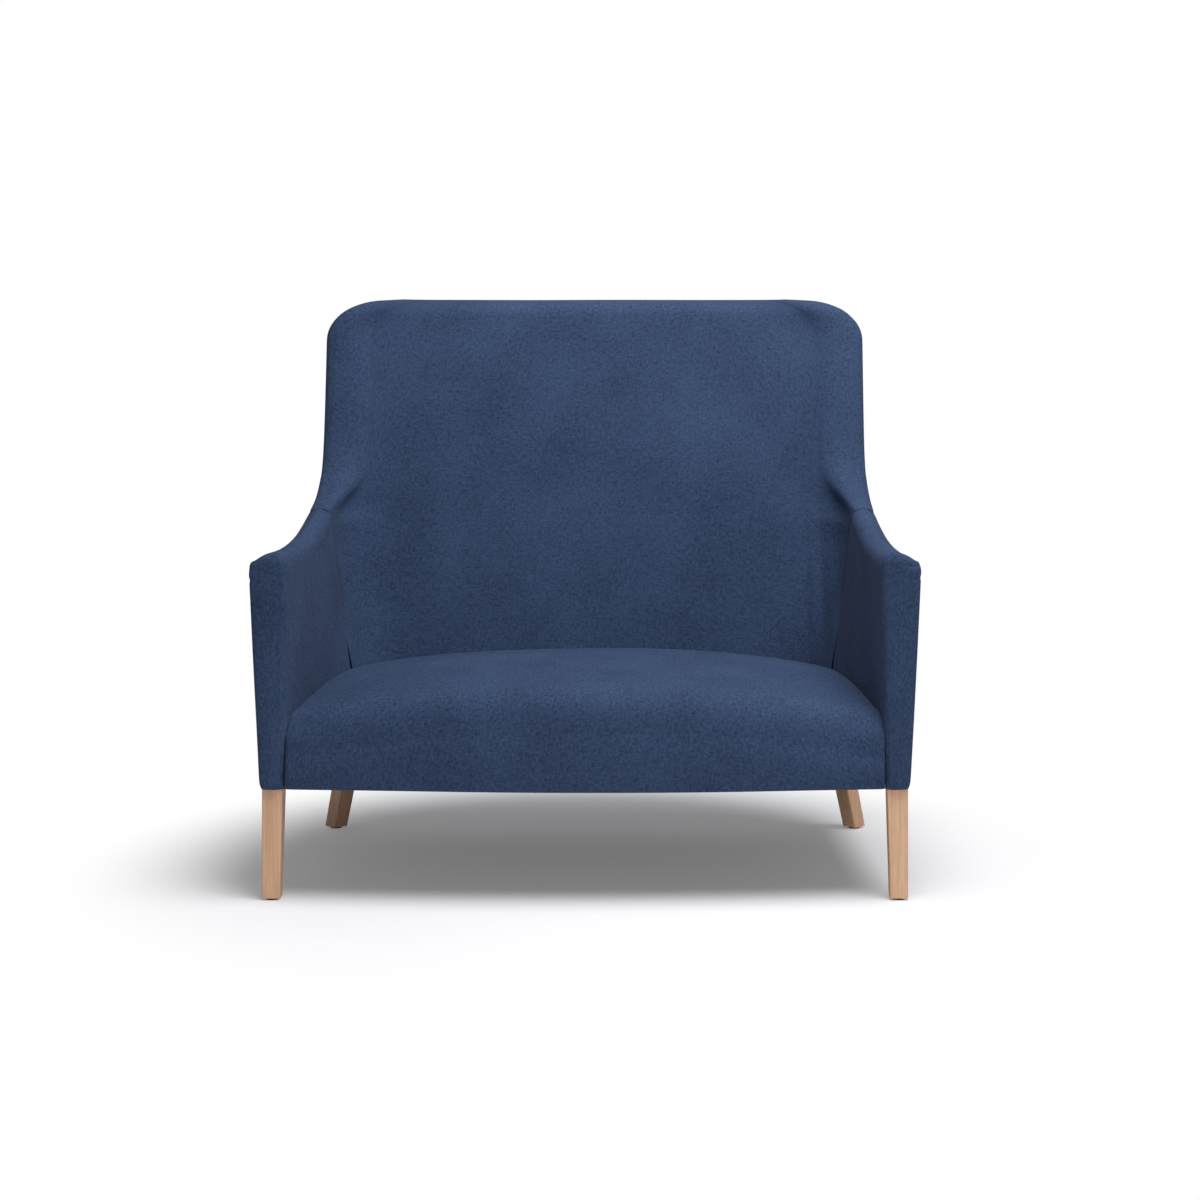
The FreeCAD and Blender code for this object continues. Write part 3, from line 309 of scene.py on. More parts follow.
def cloth_grid(name, points, wanted=None, closed=False, facing=None, middle=0):
    """A mesh from rows of points. Its UV map is in metres, measured over the surface."""
    rows, cols = points.shape[:2]
    across = lengths(points, 1)
    across = across - across[:, middle:middle + 1]
    up = lengths(points, 0)
    ring = cols - 1 if closed else cols
    mesh = bpy.data.meshes.new(name)
    faces = []
    corners = []
    for i in range(rows - 1):
        for j in range(cols - 1):
            if wanted is not None and not wanted(i, j):
                continue
            around = [(i, j), (i, j + 1), (i + 1, j + 1), (i + 1, j)]
            faces.append([a * ring + b % ring for a, b in around])
            corners.append(around)
    vertices = points[:, :ring].reshape(-1, 3)
    used = sorted({v for face in faces for v in face})
    place = {v: k for k, v in enumerate(used)}
    mesh.from_pydata([vertices[v] for v in used], [], [[place[v] for v in face] for face in faces])
    layer = mesh.uv_layers.new(name="cloth")
    values = [(across[a, b], up[a, b]) for around in corners for a, b in around]
    layer.data.foreach_set("uv", np.array(values, np.float32).ravel())
    if facing is not None:
        total = sum((polygon.normal * polygon.area for polygon in mesh.polygons), start=Vector())
        if total.dot(facing) < 0:
            mesh.flip_normals()
    return added(name, mesh)


def joined(name, pieces):
    """One object from several, with their shared edges merged."""
    whole = bmesh.new()
    for piece in pieces:
        whole.from_mesh(piece.data)
    bmesh.ops.remove_doubles(whole, verts=whole.verts, dist=0.00002)
    bmesh.ops.recalc_face_normals(whole, faces=whole.faces)
    mesh = bpy.data.meshes.new(name)
    whole.to_mesh(mesh)
    whole.free()
    for piece in pieces:
        bpy.data.objects.remove(piece)
    return added(name, mesh)


def split_at(work, y, clear=False):
    geometry = work.verts[:] + work.edges[:] + work.faces[:]
    bmesh.ops.bisect_plane(work, geom=geometry, dist=0.0001, plane_co=(0, y, 0), plane_no=(0, -1, 0),
                           clear_outer=clear)


def run_under(piece, y, overlap, depth):
    """Lets a back cover run on under the arm's rear end, above it only over the sweep."""
    with opened(piece) as work:
        split_at(work, y - overlap, clear=True)
    with opened(piece) as work:
        split_at(work, y)
        work.normal_update()
        pushed([(v, -depth * clamped((y - v.co.y) / 0.020) * clamped((0.735 - v.co.z) / 0.030))
                for v in work.verts])


def eased_shoulder(piece):
    """Evens out the cover where the side edge turns into the inside of the arm."""
    with opened(piece) as work:
        near = [v for v in work.verts if not v.is_boundary and 0.470 < abs(v.co.x) < 0.575
                and 0.700 < v.co.z < 0.850 and v.co.y > SEAM + 0.006]
        for _ in range(14):
            bmesh.ops.smooth_vert(work, verts=near, factor=0.5, use_axis_x=True, use_axis_y=True,
                                  use_axis_z=True)


def tucked(piece, depth):
    """Pulls a cover's edges inwards, so that two covers meet in a valley."""
    with opened(piece) as work:
        work.normal_update()
        edge = {v for e in work.edges if e.is_boundary for v in e.verts}
        near = {e.other_vert(v) for v in edge for e in v.link_edges} - edge
        pushed([(v, -depth) for v in edge] + [(v, -depth * 0.15) for v in near])


def puckered(piece, shape):
    """Moves each point along its normal by shape(x, y, z), in metres."""
    with opened(piece) as work:
        work.normal_update()
        pushed([(v, shape(*v.co)) for v in work.verts])


def finished(piece, thickness, levels, material):
    """Subdivides and thickens a cover, applies both and gives it its material."""
    rounder = piece.modifiers.new("rounder", "SUBSURF")
    rounder.levels = levels
    rounder.render_levels = levels
    wall = piece.modifiers.new("wall", "SOLIDIFY")
    wall.thickness = thickness
    wall.offset = -1.0
    graph = bpy.context.evaluated_depsgraph_get()
    mesh = bpy.data.meshes.new_from_object(piece.evaluated_get(graph))
    piece.modifiers.clear()
    piece.data = mesh
    mesh.name = piece.name
    for polygon in mesh.polygons:
        polygon.use_smooth = True
    mesh.materials.clear()
    mesh.materials.append(material)
    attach(piece, BODY)


def waves(x, y, z, scale, seed):
    """A smooth repeatable unevenness between about -1 and 1."""
    a = math.sin(x * 2.1 / scale + seed) * math.cos(z * 1.7 / scale + 1.3 * seed)
    b = math.sin((x + z) * 1.3 / scale + 2.0 * seed + y / scale)
    return (a + b) / 2


def bump_at(value, middle, width):
    return math.exp(-((value - middle) / width) ** 2)


# Shader groups

def group_socket(tree, name, kind, way="INPUT", default=None):
    socket = tree.interface.new_socket(name, in_out=way, socket_type="NodeSocket" + kind)
    if default is not None:
        socket.default_value = default


def feed(links, socket, value):
    """Sets a socket to a plain value, or links an output to it."""
    if isinstance(value, (int, float, tuple)):
        socket.default_value = value
    else:
        links.new(value, socket)


def math_node(nodes, links, operation, *values):
    node = nodes.new("ShaderNodeMath")
    node.operation = operation
    for number, value in enumerate(values):
        feed(links, node.inputs[number], value)
    return node.outputs[0]


def mixed(nodes, links, share, first, second, blend="MIX"):
    node = nodes.new("ShaderNodeMix")
    node.data_type = "RGBA"
    node.blend_type = blend
    for number, value in ((0, share), (6, first), (7, second)):
        feed(links, node.inputs[number], value)
    return node.outputs[2]


def combined(nodes, links, x, y, z):
    node = nodes.new("ShaderNodeCombineXYZ")
    for number, value in enumerate((x, y, z)):
        feed(links, node.inputs[number], value)
    return node.outputs[0]


def ranged(nodes, links, value, low, high):
    """A value as a share of the way from low to high."""
    node = nodes.new("ShaderNodeMapRange")
    node.inputs["From Min"].default_value = low
    node.inputs["From Max"].default_value = high
    links.new(value, node.inputs["Value"])
    return node


def bumped(nodes, links, shader, height, strength, distance):
    node = nodes.new("ShaderNodeBump")
    node.inputs["Strength"].default_value = strength
    node.inputs["Distance"].default_value = distance
    links.new(height, node.inputs["Height"])
    links.new(node.outputs[0], shader.inputs["Normal"])


def blended(nodes, links, share, first, second, target):
    """Mixes two shaders into an output node."""
    mix = nodes.new("ShaderNodeMixShader")
    for number, value in enumerate((share, first.outputs[0], second.outputs[0])):
        links.new(value, mix.inputs[number])
    links.new(mix.outputs[0], nodes[target].inputs["Surface"])


def noise(nodes, links, vector, scale, detail=2.0, roughness=0.5):
    node = nodes.new("ShaderNodeTexNoise")
    node.inputs["Scale"].default_value = scale
    node.inputs["Detail"].default_value = detail
    node.inputs["Roughness"].default_value = roughness
    links.new(vector, node.inputs["Vector"])
    return node.outputs["Fac"]


def both_ends(tree):
    """A tree's nodes and links, what goes into it and what comes out."""
    nodes = tree.nodes
    return nodes, tree.links, nodes.new("NodeGroupInput").outputs, nodes.new("NodeGroupOutput").inputs


def finish_group(name, *wanted):
    """An empty shader group that puts out a colour, a roughness and a height."""
    tree = bpy.data.node_groups.new(name, "ShaderNodeTree")
    for socket, kind, default in wanted:
        group_socket(tree, socket, kind, default=default)
    for socket, kind in (("Color", "Color"), ("Roughness", "Float"), ("Height", "Float")):
        group_socket(tree, socket, kind, "OUTPUT")
    return tree


def melange_group():
    """A plain weave of mixed yarns: colour, roughness and height."""
    tree = finish_group("melange weave", ("Cloth", "Vector", None), ("Place", "Vector", None),
                        ("Yarn", "Float", 0.002), ("Mottle", "Float", 0.006),
                        ("Light", "Color", (0.1, 0.2, 0.4, 1)), ("Dark", "Color", (0.02, 0.04, 0.1, 1)))
    nodes, links, put, out = both_ends(tree)
    split = nodes.new("ShaderNodeSeparateXYZ")
    links.new(put["Cloth"], split.inputs[0])
    calc = partial(math_node, nodes, links)
    a = calc("DIVIDE", split.outputs[0], put["Yarn"])
    b = calc("DIVIDE", split.outputs[1], put["Yarn"])
    column, row = calc("FLOOR", a), calc("FLOOR", b)
    over = calc("FLOORED_MODULO", calc("ADD", column, row), 2.0)
    dot = calc("MULTIPLY", calc("ABSOLUTE", calc("SINE", calc("MULTIPLY", a, math.pi))),
               calc("ABSOLUTE", calc("SINE", calc("MULTIPLY", b, math.pi))))
    weft_place = combined(nodes, links, calc("MULTIPLY", a, 0.16), calc("MULTIPLY", row, 1.71), 0.0)
    weft = noise(nodes, links, weft_place, 1.0, 1.0)
    warp_place = combined(nodes, links, calc("MULTIPLY", column, 1.37), calc("MULTIPLY", b, 0.16), 7.0)
    warp = noise(nodes, links, warp_place, 1.0, 1.0)
    yarns = calc("ADD", calc("MULTIPLY", weft, over), calc("MULTIPLY", warp, calc("SUBTRACT", 1.0, over)))
    slub_place = combined(nodes, links, calc("DIVIDE", split.outputs[0], put["Mottle"]),
                          calc("DIVIDE", split.outputs[1], put["Mottle"]), 3.0)
    mottle = noise(nodes, links, slub_place, 1.0, 3.0, 0.65)
    broad = noise(nodes, links, put["Place"], 7.0, 2.0)
    tone = calc("ADD", calc("MULTIPLY", yarns, 0.40), calc("MULTIPLY", mottle, 0.45))
    tone = calc("ADD", tone, calc("MULTIPLY", broad, 0.15))
    ramp = ranged(nodes, links, tone, 0.34, 0.66)
    # Painted shade and highlight: the yarn colour is multiplied by the yarn's shape, darker in the gaps
    # between yarns and a little lighter on their crowns
    painted_yarn_shading = calc("MULTIPLY_ADD", dot, 0.35, 0.72)
    plain = mixed(nodes, links, ramp.outputs[0], put["Dark"], put["Light"])
    grey = combined(nodes, links, painted_yarn_shading, painted_yarn_shading, painted_yarn_shading)
    links.new(mixed(nodes, links, 1.0, plain, grey, "MULTIPLY"), out["Color"])
    links.new(calc("MULTIPLY_ADD", mottle, 0.12, 0.80), out["Roughness"])
    links.new(calc("ADD", calc("MULTIPLY", dot, 0.8), calc("MULTIPLY", mottle, 0.5)), out["Height"])
    return tree


def grain_group():
    """Straight wood grain along Z: colour, roughness and height."""
    tree = finish_group("straight grain", ("Place", "Vector", None), ("Fineness", "Float", 1.0),
                        ("Light", "Color", (0.7, 0.5, 0.3, 1)), ("Dark", "Color", (0.5, 0.3, 0.2, 1)))
    nodes, links, put, out = both_ends(tree)
    split = nodes.new("ShaderNodeSeparateXYZ")
    links.new(put["Place"], split.inputs[0])
    calc = partial(math_node, nodes, links)
    def along(across, length, shift):
        x = calc("MULTIPLY", calc("MULTIPLY", split.outputs[0], across), put["Fineness"])
        y = calc("MULTIPLY", calc("MULTIPLY", split.outputs[1], across), put["Fineness"])
        z = calc("MULTIPLY_ADD", split.outputs[2], length, shift)
        return combined(nodes, links, x, y, z)

    bands = noise(nodes, links, along(95.0, 2.6, 0.0), 1.0, 3.0, 0.6)
    fibres = noise(nodes, links, along(620.0, 9.0, 4.0), 1.0, 2.0, 0.6)
    pores = noise(nodes, links, along(900.0, 42.0, 9.0), 1.0, 1.0, 0.5)
    pore_mask = ranged(nodes, links, pores, 0.60, 0.72)
    tone = calc("ADD", calc("MULTIPLY", bands, 0.62), calc("MULTIPLY", fibres, 0.38))
    ramp = ranged(nodes, links, tone, 0.40, 0.66)
    share = calc("ADD", calc("MULTIPLY", ramp.outputs[0], 0.75), calc("MULTIPLY", pore_mask.outputs[0], 0.35))
    links.new(mixed(nodes, links, share, put["Light"], put["Dark"]), out["Color"])
    links.new(calc("MULTIPLY_ADD", fibres, 0.16, 0.44), out["Roughness"])
    links.new(calc("SUBTRACT", fibres, calc("MULTIPLY", pore_mask.outputs[0], 0.8)), out["Height"])
    return tree


def new_material(name):
    material = bpy.data.materials.new(name)
    material.use_nodes = True
    nodes, links = material.node_tree.nodes, material.node_tree.links
    shader = nodes["Principled BSDF"]
    place = nodes.new("ShaderNodeTexCoord").outputs["Object"]
    return material, nodes, links, shader, place


def placed_group(nodes, links, tree, **values):
    node = nodes.new("ShaderNodeGroup")
    node.node_tree = tree
    for name, value in values.items():
        feed(links, node.inputs[name], value)
    return node


def connect_finish(nodes, links, shader, node, strength, distance):
    links.new(node.outputs["Color"], shader.inputs["Base Color"])
    links.new(node.outputs["Roughness"], shader.inputs["Roughness"])
    bumped(nodes, links, shader, node.outputs["Height"], strength, distance)


def cloth_material(name, tree, light, dark, yarn, mottle, sheen=0.02, strength=0.5):
    """Woven cloth that follows each piece's own UV map."""
    material, nodes, links, shader, place = new_material(name)
    cloth = nodes.new("ShaderNodeUVMap")
    cloth.uv_map = "cloth"
    node = placed_group(nodes, links, tree, Cloth=cloth.outputs[0], Place=place, Yarn=yarn, Mottle=mottle,
                        Light=(*light, 1.0), Dark=(*dark, 1.0))
    connect_finish(nodes, links, shader, node, strength, 0.0006)
    shader.inputs["Sheen Weight"].default_value = sheen
    shader.inputs["Sheen Roughness"].default_value = 0.45
    shader.inputs["Specular IOR Level"].default_value = 0.15
    return material


def wood_material(name, tree, light, dark, turn=(0, 0, 0), fineness=1.0):
    material, nodes, links, shader, place = new_material(name)
    mapping = nodes.new("ShaderNodeMapping")
    mapping.inputs["Rotation"].default_value = turn
    links.new(place, mapping.inputs["Vector"])
    node = placed_group(nodes, links, tree, Place=mapping.outputs[0], Fineness=fineness, Light=(*light, 1.0),
                        Dark=(*dark, 1.0))
    connect_finish(nodes, links, shader, node, 0.25, 0.0004)
    shader.inputs["Specular IOR Level"].default_value = 0.35
    return material


def speckled_material(name, first, second, scale, rough, metallic=0.0):
    """A plain finish with a fine uneven tone, for metal, plastic and board."""
    material, nodes, links, shader, place = new_material(name)
    tone = noise(nodes, links, place, scale, 3.0)
    links.new(mixed(nodes, links, tone, (*first, 1.0), (*second, 1.0)), shader.inputs["Base Color"])
    links.new(math_node(nodes, links, "MULTIPLY_ADD", tone, 0.2, rough), shader.inputs["Roughness"])
    bumped(nodes, links, shader, tone, 0.15, 0.0003)
    shader.inputs["Metallic"].default_value = metallic
    return material


def fabric():
    look = bpy.context.scene.settee_look
    material = bpy.data.materials.get("navy melange wool")
    if material is None:
        material = cloth_material("navy melange wool", melange_group(), look.fabric_light, look.fabric_dark,
                                  look.yarn, look.mottle)
    return material


# Geometry Nodes for what repeats along a seam or an edge

def repeat_tree(name):
    """Copies of one small piece at an even spacing along a line."""
    tree = bpy.data.node_groups.new(name, "GeometryNodeTree")
    for socket, kind, default in (("Line", "Geometry", None), ("Piece", "Object", None),
                                  ("Spacing", "Float", 0.04), ("Face", "Vector", (0.0, 0.0, -1.0)),
                                  ("Finish", "Material", None)):
        group_socket(tree, socket, kind, default=default)
    group_socket(tree, "Pieces", "Geometry", "OUTPUT")
    nodes, links, put, out = both_ends(tree)
    curve = nodes.new("GeometryNodeMeshToCurve")
    links.new(put["Line"], curve.inputs[0])
    points = nodes.new("GeometryNodeResampleCurve")
    points.mode = "LENGTH"
    links.new(curve.outputs[0], points.inputs["Curve"])
    links.new(put["Spacing"], points.inputs["Length"])
    info = nodes.new("GeometryNodeObjectInfo")
    links.new(put["Piece"], info.inputs["Object"])
    tangent = nodes.new("GeometryNodeInputTangent")
    lengthwise = nodes.new("FunctionNodeAlignRotationToVector")
    lengthwise.axis = "X"
    links.new(tangent.outputs[0], lengthwise.inputs["Vector"])
    facing = nodes.new("FunctionNodeAlignRotationToVector")
    facing.axis = "Z"
    facing.pivot_axis = "X"
    links.new(lengthwise.outputs[0], facing.inputs["Rotation"])
    links.new(put["Face"], facing.inputs["Vector"])
    spread = nodes.new("GeometryNodeInstanceOnPoints")
    links.new(points.outputs[0], spread.inputs["Points"])
    links.new(info.outputs["Geometry"], spread.inputs["Instance"])
    links.new(facing.outputs[0], spread.inputs["Rotation"])
    real = nodes.new("GeometryNodeRealizeInstances")
    links.new(spread.outputs[0], real.inputs[0])
    coloured = nodes.new("GeometryNodeSetMaterial")
    links.new(real.outputs[0], coloured.inputs["Geometry"])
    links.new(put["Finish"], coloured.inputs["Material"])
    links.new(coloured.outputs[0], out[0])
    return tree


def small_bar(name, length, width, height, bent):
    """A short rounded wire, its two ends bent down."""
    work = bmesh.new()
    sections = []
    for share, drop in ((-0.5, bent), (-0.46, 0.0), (0.0, -0.15), (0.46, 0.0), (0.5, bent)):
        ring = []
        for k in range(6):
            angle = 2 * math.pi * k / 6
            z = math.sin(angle) * height / 2 - drop * height
            ring.append(work.verts.new((share * length, math.cos(angle) * width / 2, z)))
        sections.append(ring)
    for first, second in zip(sections, sections[1:]):
        for k in range(6):
            work.faces.new((first[k], first[(k + 1) % 6], second[(k + 1) % 6], second[k]))
    work.faces.new(sections[0][::-1])
    work.faces.new(sections[-1])
    bmesh.ops.recalc_face_normals(work, faces=work.faces)
    mesh = bpy.data.meshes.new(name)
    work.to_mesh(mesh)
    work.free()
    return added(name, mesh)


def repeated(name, lines, small, spacing, face, material):
    """Runs the tree along lines of points and keeps the result as a plain mesh."""
    tree = bpy.data.node_groups.get("repeat along a line") or repeat_tree("repeat along a line")
    mesh = bpy.data.meshes.new(name + "_line")
    vertices = [tuple(p) for run in lines for p in run]
    edges = []
    start = 0
    for run in lines:
        edges += [(start + k, start + k + 1) for k in range(len(run) - 1)]
        start += len(run)
    mesh.from_pydata(vertices, edges, [])
    base = added(name + "_line", mesh)
    modifier = base.modifiers.new("repeat", "NODES")
    modifier.node_group = tree
    named = {item.name: item.identifier for item in tree.interface.items_tree if item.in_out == "INPUT"}
    modifier[named["Piece"]] = small
    modifier[named["Spacing"]] = spacing
    modifier[named["Face"]] = face
    modifier[named["Finish"]] = material
    graph = bpy.context.evaluated_depsgraph_get()
    result = bpy.data.meshes.new_from_object(base.evaluated_get(graph))
    result.name = name
    bpy.data.objects.remove(base)
    bpy.data.objects.remove(small)
    piece = added(name, result)
    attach(piece, BODY)


# Operators

class SETTEE_OT_back(bpy.types.Operator):
    """Inside back, outside back and the two outside wings"""
    bl_idname = "settee.back"
    bl_label = "Back covers"

    def execute(self, context):
        form = context.scene.settee_form
        levels = back_rows()
        rings = self.rings_at(form, levels)
        end = rings.shape[1] - 1
        roll_row = levels.index(SEAM_TOP_LEVEL)

        def outside(j, first, last):
            return first <= j < last or end - last <= j < end - first

        inside = cloth_grid("inside_back", rings,
                            lambda i, j: i >= roll_row or not outside(j, 0, SIDE_SEAM),
                            closed=True, middle=(end + 1) // 2)
        cap = self.top_cap(rings[-1])
        inside = joined("inside_back", [inside, cap])
        below = (UNDER, UNDER + 0.012, UNDER + 0.045, UNDER + 0.080)
        low_rings = np.concatenate([self.rings_at(form, below), rings])
        last_row = roll_row + len(below)
        rear = cloth_grid("outside_back", self.rolled(low_rings, REAR_SEAM),
                          lambda i, j: i < last_row and j < 2 * REAR_SEAM,
                          facing=Vector((0, 1, 0)), middle=REAR_SEAM)
        right = cloth_grid("outside_wing_right", low_rings,
                           lambda i, j: i < last_row and REAR_SEAM <= j < SIDE_SEAM,
                           facing=Vector((1, 0, 0)), middle=REAR_SEAM)
        left = cloth_grid("outside_wing_left", low_rings,
                          lambda i, j: i < last_row and end - SIDE_SEAM <= j < end - REAR_SEAM,
                          facing=Vector((-1, 0, 0)), middle=end - REAR_SEAM)
        for piece in (inside, right, left):
            run_under(piece, SEAM, 0.022, 0.004)
        eased_shoulder(inside)
        puckered(inside, self.inside_folds)
        for piece, nodes in ((inside, ("inside_back_cover", "back_foam", "back_straps")),
                             (rear, ("outside_back_cover",)), (right, ("outside_wing_cover_right",)),
                             (left, ("outside_wing_cover_left",))):
            tucked(piece, form.tuck)
            finished(piece, form.cover, 1, fabric())
            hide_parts(*nodes)
        return {"FINISHED"}

    def rings_at(self, form, levels):
        return np.array([[(x, y, z) for x, y in back_outline(form, z)] for z in levels])

    def rolled(self, rings, shift):
        """The same rings, begun ahead of the middle of the rear."""
        open_rings = rings[:, :-1]
        moved = np.roll(open_rings, shift, axis=1)
        return np.concatenate([moved, moved[:, :1]], axis=1)

    def top_cap(self, ring):
        """A softly crowned strip between the rear and the front of the top edge."""
        outer = np.concatenate([ring[QUARTER::-1], ring[-2:-QUARTER - 2:-1]])
        inner = ring[QUARTER:QUARTER * 3 + 1]
        strips = []
        for share in (0.0, 0.2, 0.4, 0.6, 0.8, 1.0):
            row = outer * (1 - share) + inner * share
            row[:, 2] += 0.0016 * math.sin(math.pi * share)
            strips.append(row)
        return cloth_grid("top_cap", np.array(strips))

    def inside_folds(self, x, y, z):
        """Soft folds where the back turns into its sides, and a little unevenness."""
        move = 0.0009 * waves(x, y, z, 0.11, 1.0)
        if y > 0.33 or z > 1.1:
            return move * 0.4
        side = abs(x)
        height = bump_at(z, 0.56, 0.13)
        depth = 0.0030 if x > 0 else 0.0012
        fold = math.sin((side - 0.44) * 2 * math.pi / 0.034 + 2.0 * (z - 0.5) * (1 if x > 0 else -1))
        return move + depth * height * bump_at(side, 0.485, 0.035) * fold


class SETTEE_OT_arms(bpy.types.Operator):
    """Inside and outside covers of both arms"""
    bl_idname = "settee.arms"
    bl_label = "Arm covers"

    def execute(self, context):
        form = context.scene.settee_form
        depths = arm_rows()
        outlines = [arm_outline(form, depth) for depth in depths]
        for side in (1, -1):
            rings = []
            for depth, (outer, inside) in zip(depths, outlines):
                around = np.vstack([outer[::-1], inside[1:]])
                rings.append([(side * x, FRONT + depth, z) for x, z in around])
            rings = np.array(rings)
            name = "right" if side > 0 else "left"
            crest = len(outlines[0][0]) - 1
            seam = crest - 14
            outside = cloth_grid("outside_arm_" + name, rings, lambda i, j: i >= 5 and j < seam)
            inner = cloth_grid("inside_arm_" + name, rings, lambda i, j: i < 5 or j >= seam)
            inner = joined("inside_arm_" + name, [inner, self.front(rings[0], crest)])
            self.turned_out(inner, side)
            self.turned_out(outside, side)
            puckered(inner, lambda x, y, z: self.pleats(side, x, y, z))
            for piece, nodes in ((inner, ("inside_arm_cover_" + name, "arm_foam_" + name)),
                                 (outside, ("outside_arm_cover_" + name,))):
                tucked(piece, form.tuck)
                finished(piece, form.cover, 1, fabric())
                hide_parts(*nodes)
        return {"FINISHED"}

    def front(self, ring, crest):
        """The narrow face of the arm, slightly domed."""
        outer = ring[crest::-1]
        inner = ring[crest:]
        count = min(len(outer), len(inner))
        strips = []
        for share in np.linspace(0, 1, 9):
            row = outer[:count] * (1 - share) + inner[:count] * share
            row[1:, 1] -= 0.0018 * math.sin(math.pi * share)
            strips.append(row)
        return cloth_grid("front", np.array(strips))

    def turned_out(self, piece, side):
        """Normals away from the middle of the arm."""
        mesh = piece.data
        total = 0.0
        for polygon in mesh.polygons:
            middle = (polygon.center.x - side * 0.600, polygon.center.y + 0.13, polygon.center.z - 0.45)
            total += sum(a * b for a, b in zip(middle, polygon.normal)) * polygon.area
        if total < 0:
            mesh.flip_normals()

    def pleats(self, side, x, y, z):
        """Two short pleats at the outer top of the front, and upright pull lines inside."""
        move = 0.0008 * waves(x * 3, y * 3, z, 0.10, 2.0 + side)
        near_front = max(0.0, 1 - max(0.0, y - FRONT) / 0.030)
        reach = clamped((abs(x) - 0.618) / 0.012)
        for level, depth in ((0.641, 0.0030), (0.617, 0.0022)):
            level = level + (0.006 if side > 0 else 0.0)
            move -= depth * near_front * reach * bump_at(z, level - (0.65 - abs(x)) * 0.15, 0.0032)
        inner = 1.0 if abs(x) < 0.585 and y > FRONT + 0.05 and z < 0.66 else 0.0
        lines = math.sin(y * 2 * math.pi / 0.046 + 3 * z) * bump_at(z, 0.56, 0.09)
        return move + inner * 0.0011 * lines


class SETTEE_OT_seat(bpy.types.Operator):
    """The tight crowned seat with its bowed front"""
    bl_idname = "settee.seat"
    bl_label = "Seat cover"

    def execute(self, context):
        form = context.scene.settee_form
        shares = np.sin(np.linspace(-1, 1, 81) * math.pi / 2 * 0.94) / math.sin(math.pi / 2 * 0.94)
        columns = [self.column(form, share) for share in shares]
        grid = np.array([*self.skirt(columns[0])[::-1], *columns, *self.skirt(columns[-1])])
        piece = cloth_grid("seat", grid, facing=Vector((0, 0, 1)), middle=len(grid) // 2)
        puckered(piece, self.unevenness)
        finished(piece, form.cover, 1, fabric())
        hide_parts("seat_cover", "seat_foam", "spring_cloth")
        return {"FINISHED"}

    def half_at(self, form, depth, level):
        run = clamped((depth - ARM_EDGE) / (ARM_LENGTH - ARM_EDGE))
        low = ARM_INNER_FOOT + (form.back_half_width - form.wing_base_width - ARM_INNER_FOOT) * run
        high = ARM_INNER_TOP + (form.back_half_width - form.wing_width - ARM_INNER_TOP) * run
        return low + (high - low) * clamped((level - ARM_INNER_LEVEL) / 0.250)

    def rear_at(self, form, across, level):
        outline = back_outline(form, level)
        half = outline[QUARTER:2 * QUARTER + 1][::-1]
        order = half[np.argsort(half[:, 0])]
        return float(np.interp(abs(across), order[:, 0], order[:, 1])) - FRONT

    def column(self, form, share):
        """Points from the hem under the front, over the roll, to the back."""
        widest = 0.578
        guess = share * widest
        top = form.seat_height - form.seat_fall * (abs(guess) / 0.500) ** 2.6
        face = -form.front_bow * (1 - (guess / ARM_INNER_FOOT) ** 2)
        brow = top - 0.098
        roll_end = face + 0.070
        crown_z = top - form.seat_crown
        points = [(guess, face + 0.006, UNDER), (guess, face + 0.0006, UNDER + 0.002),
                  (guess, face, UNDER + 0.008)]
        for t in np.linspace(0.1, 1, 11):
            bulge = 0.005 * 4 * t * (1 - t)
            points.append((guess, face - bulge, UNDER + 0.008 + t * (brow - UNDER - 0.008)))
        for t in np.linspace(0.07, 1, 14):
            points.append((guess, face + t * t * (roll_end - face),
                           crown_z + (1 - t) ** 2 * (brow - crown_z)))
        fall = top - form.seat_height
        narrow = self.half_at(form, ARM_LENGTH, crown_z) / widest
        rear = self.rear_at(form, guess * narrow, crown_z + 0.004) + 0.004
        for t in np.linspace(0, 1, 31)[1:]:
            depth = roll_end + t * (rear - roll_end)
            q = (depth - roll_end) / (0.590 - roll_end)
            rise = 2 * form.seat_crown * 4 * q * (1 - q) if q < 1 else 0.0
            dip = 0.004 * max(0.0, (t - 0.93) / 0.07)
            across = guess * self.half_at(form, depth, crown_z) / widest
            lift = -form.seat_fall * (abs(across) / 0.500) ** 2.6 - fall
            points.append((across, depth, crown_z + lift + rise - dip))
        points.append((points[-1][0], rear + 0.002, points[-1][2] - 0.018))
        points.append((points[-1][0], rear + 0.002, points[-1][2] - 0.036))
        shown = []
        for x, depth, z in points:
            limit = self.half_at(form, depth, z) + 0.0005
            drawn = 0.0050 * (max(0.0, abs(share) - 0.985) / 0.015) ** 2
            mid = clamped((z - brow) / max(1e-6, crown_z - brow))
            x = math.copysign(min(abs(x), limit), x) if x else 0.0
            shown.append((x, FRONT + depth + drawn * (1 - mid), z - drawn * mid))
        return np.array(shown)

    def skirt(self, column):
        """Two columns that turn down and back into the joint with the arm."""
        rings = []
        for amount in (0.012, 0.034):
            moved = column.copy()
            high = np.clip((moved[:, 2] - 0.300) / 0.080, 0, 1)
            moved[:, 1] += amount * (1 - high)
            moved[:, 2] -= amount * high
            moved[:, 0] += np.sign(moved[:, 0]) * 0.0006
            rings.append(moved)
        return rings

    def unevenness(self, x, y, z):
        """A hand-pulled cover is never quite even."""
        move = 0.0012 * waves(x, y, z, 0.16, 4.0)
        pull = bump_at(abs(x), 0.555, 0.030) * bump_at(z, 0.33, 0.05)
        return move + 0.0012 * pull * math.sin(z * 2 * math.pi / 0.05)


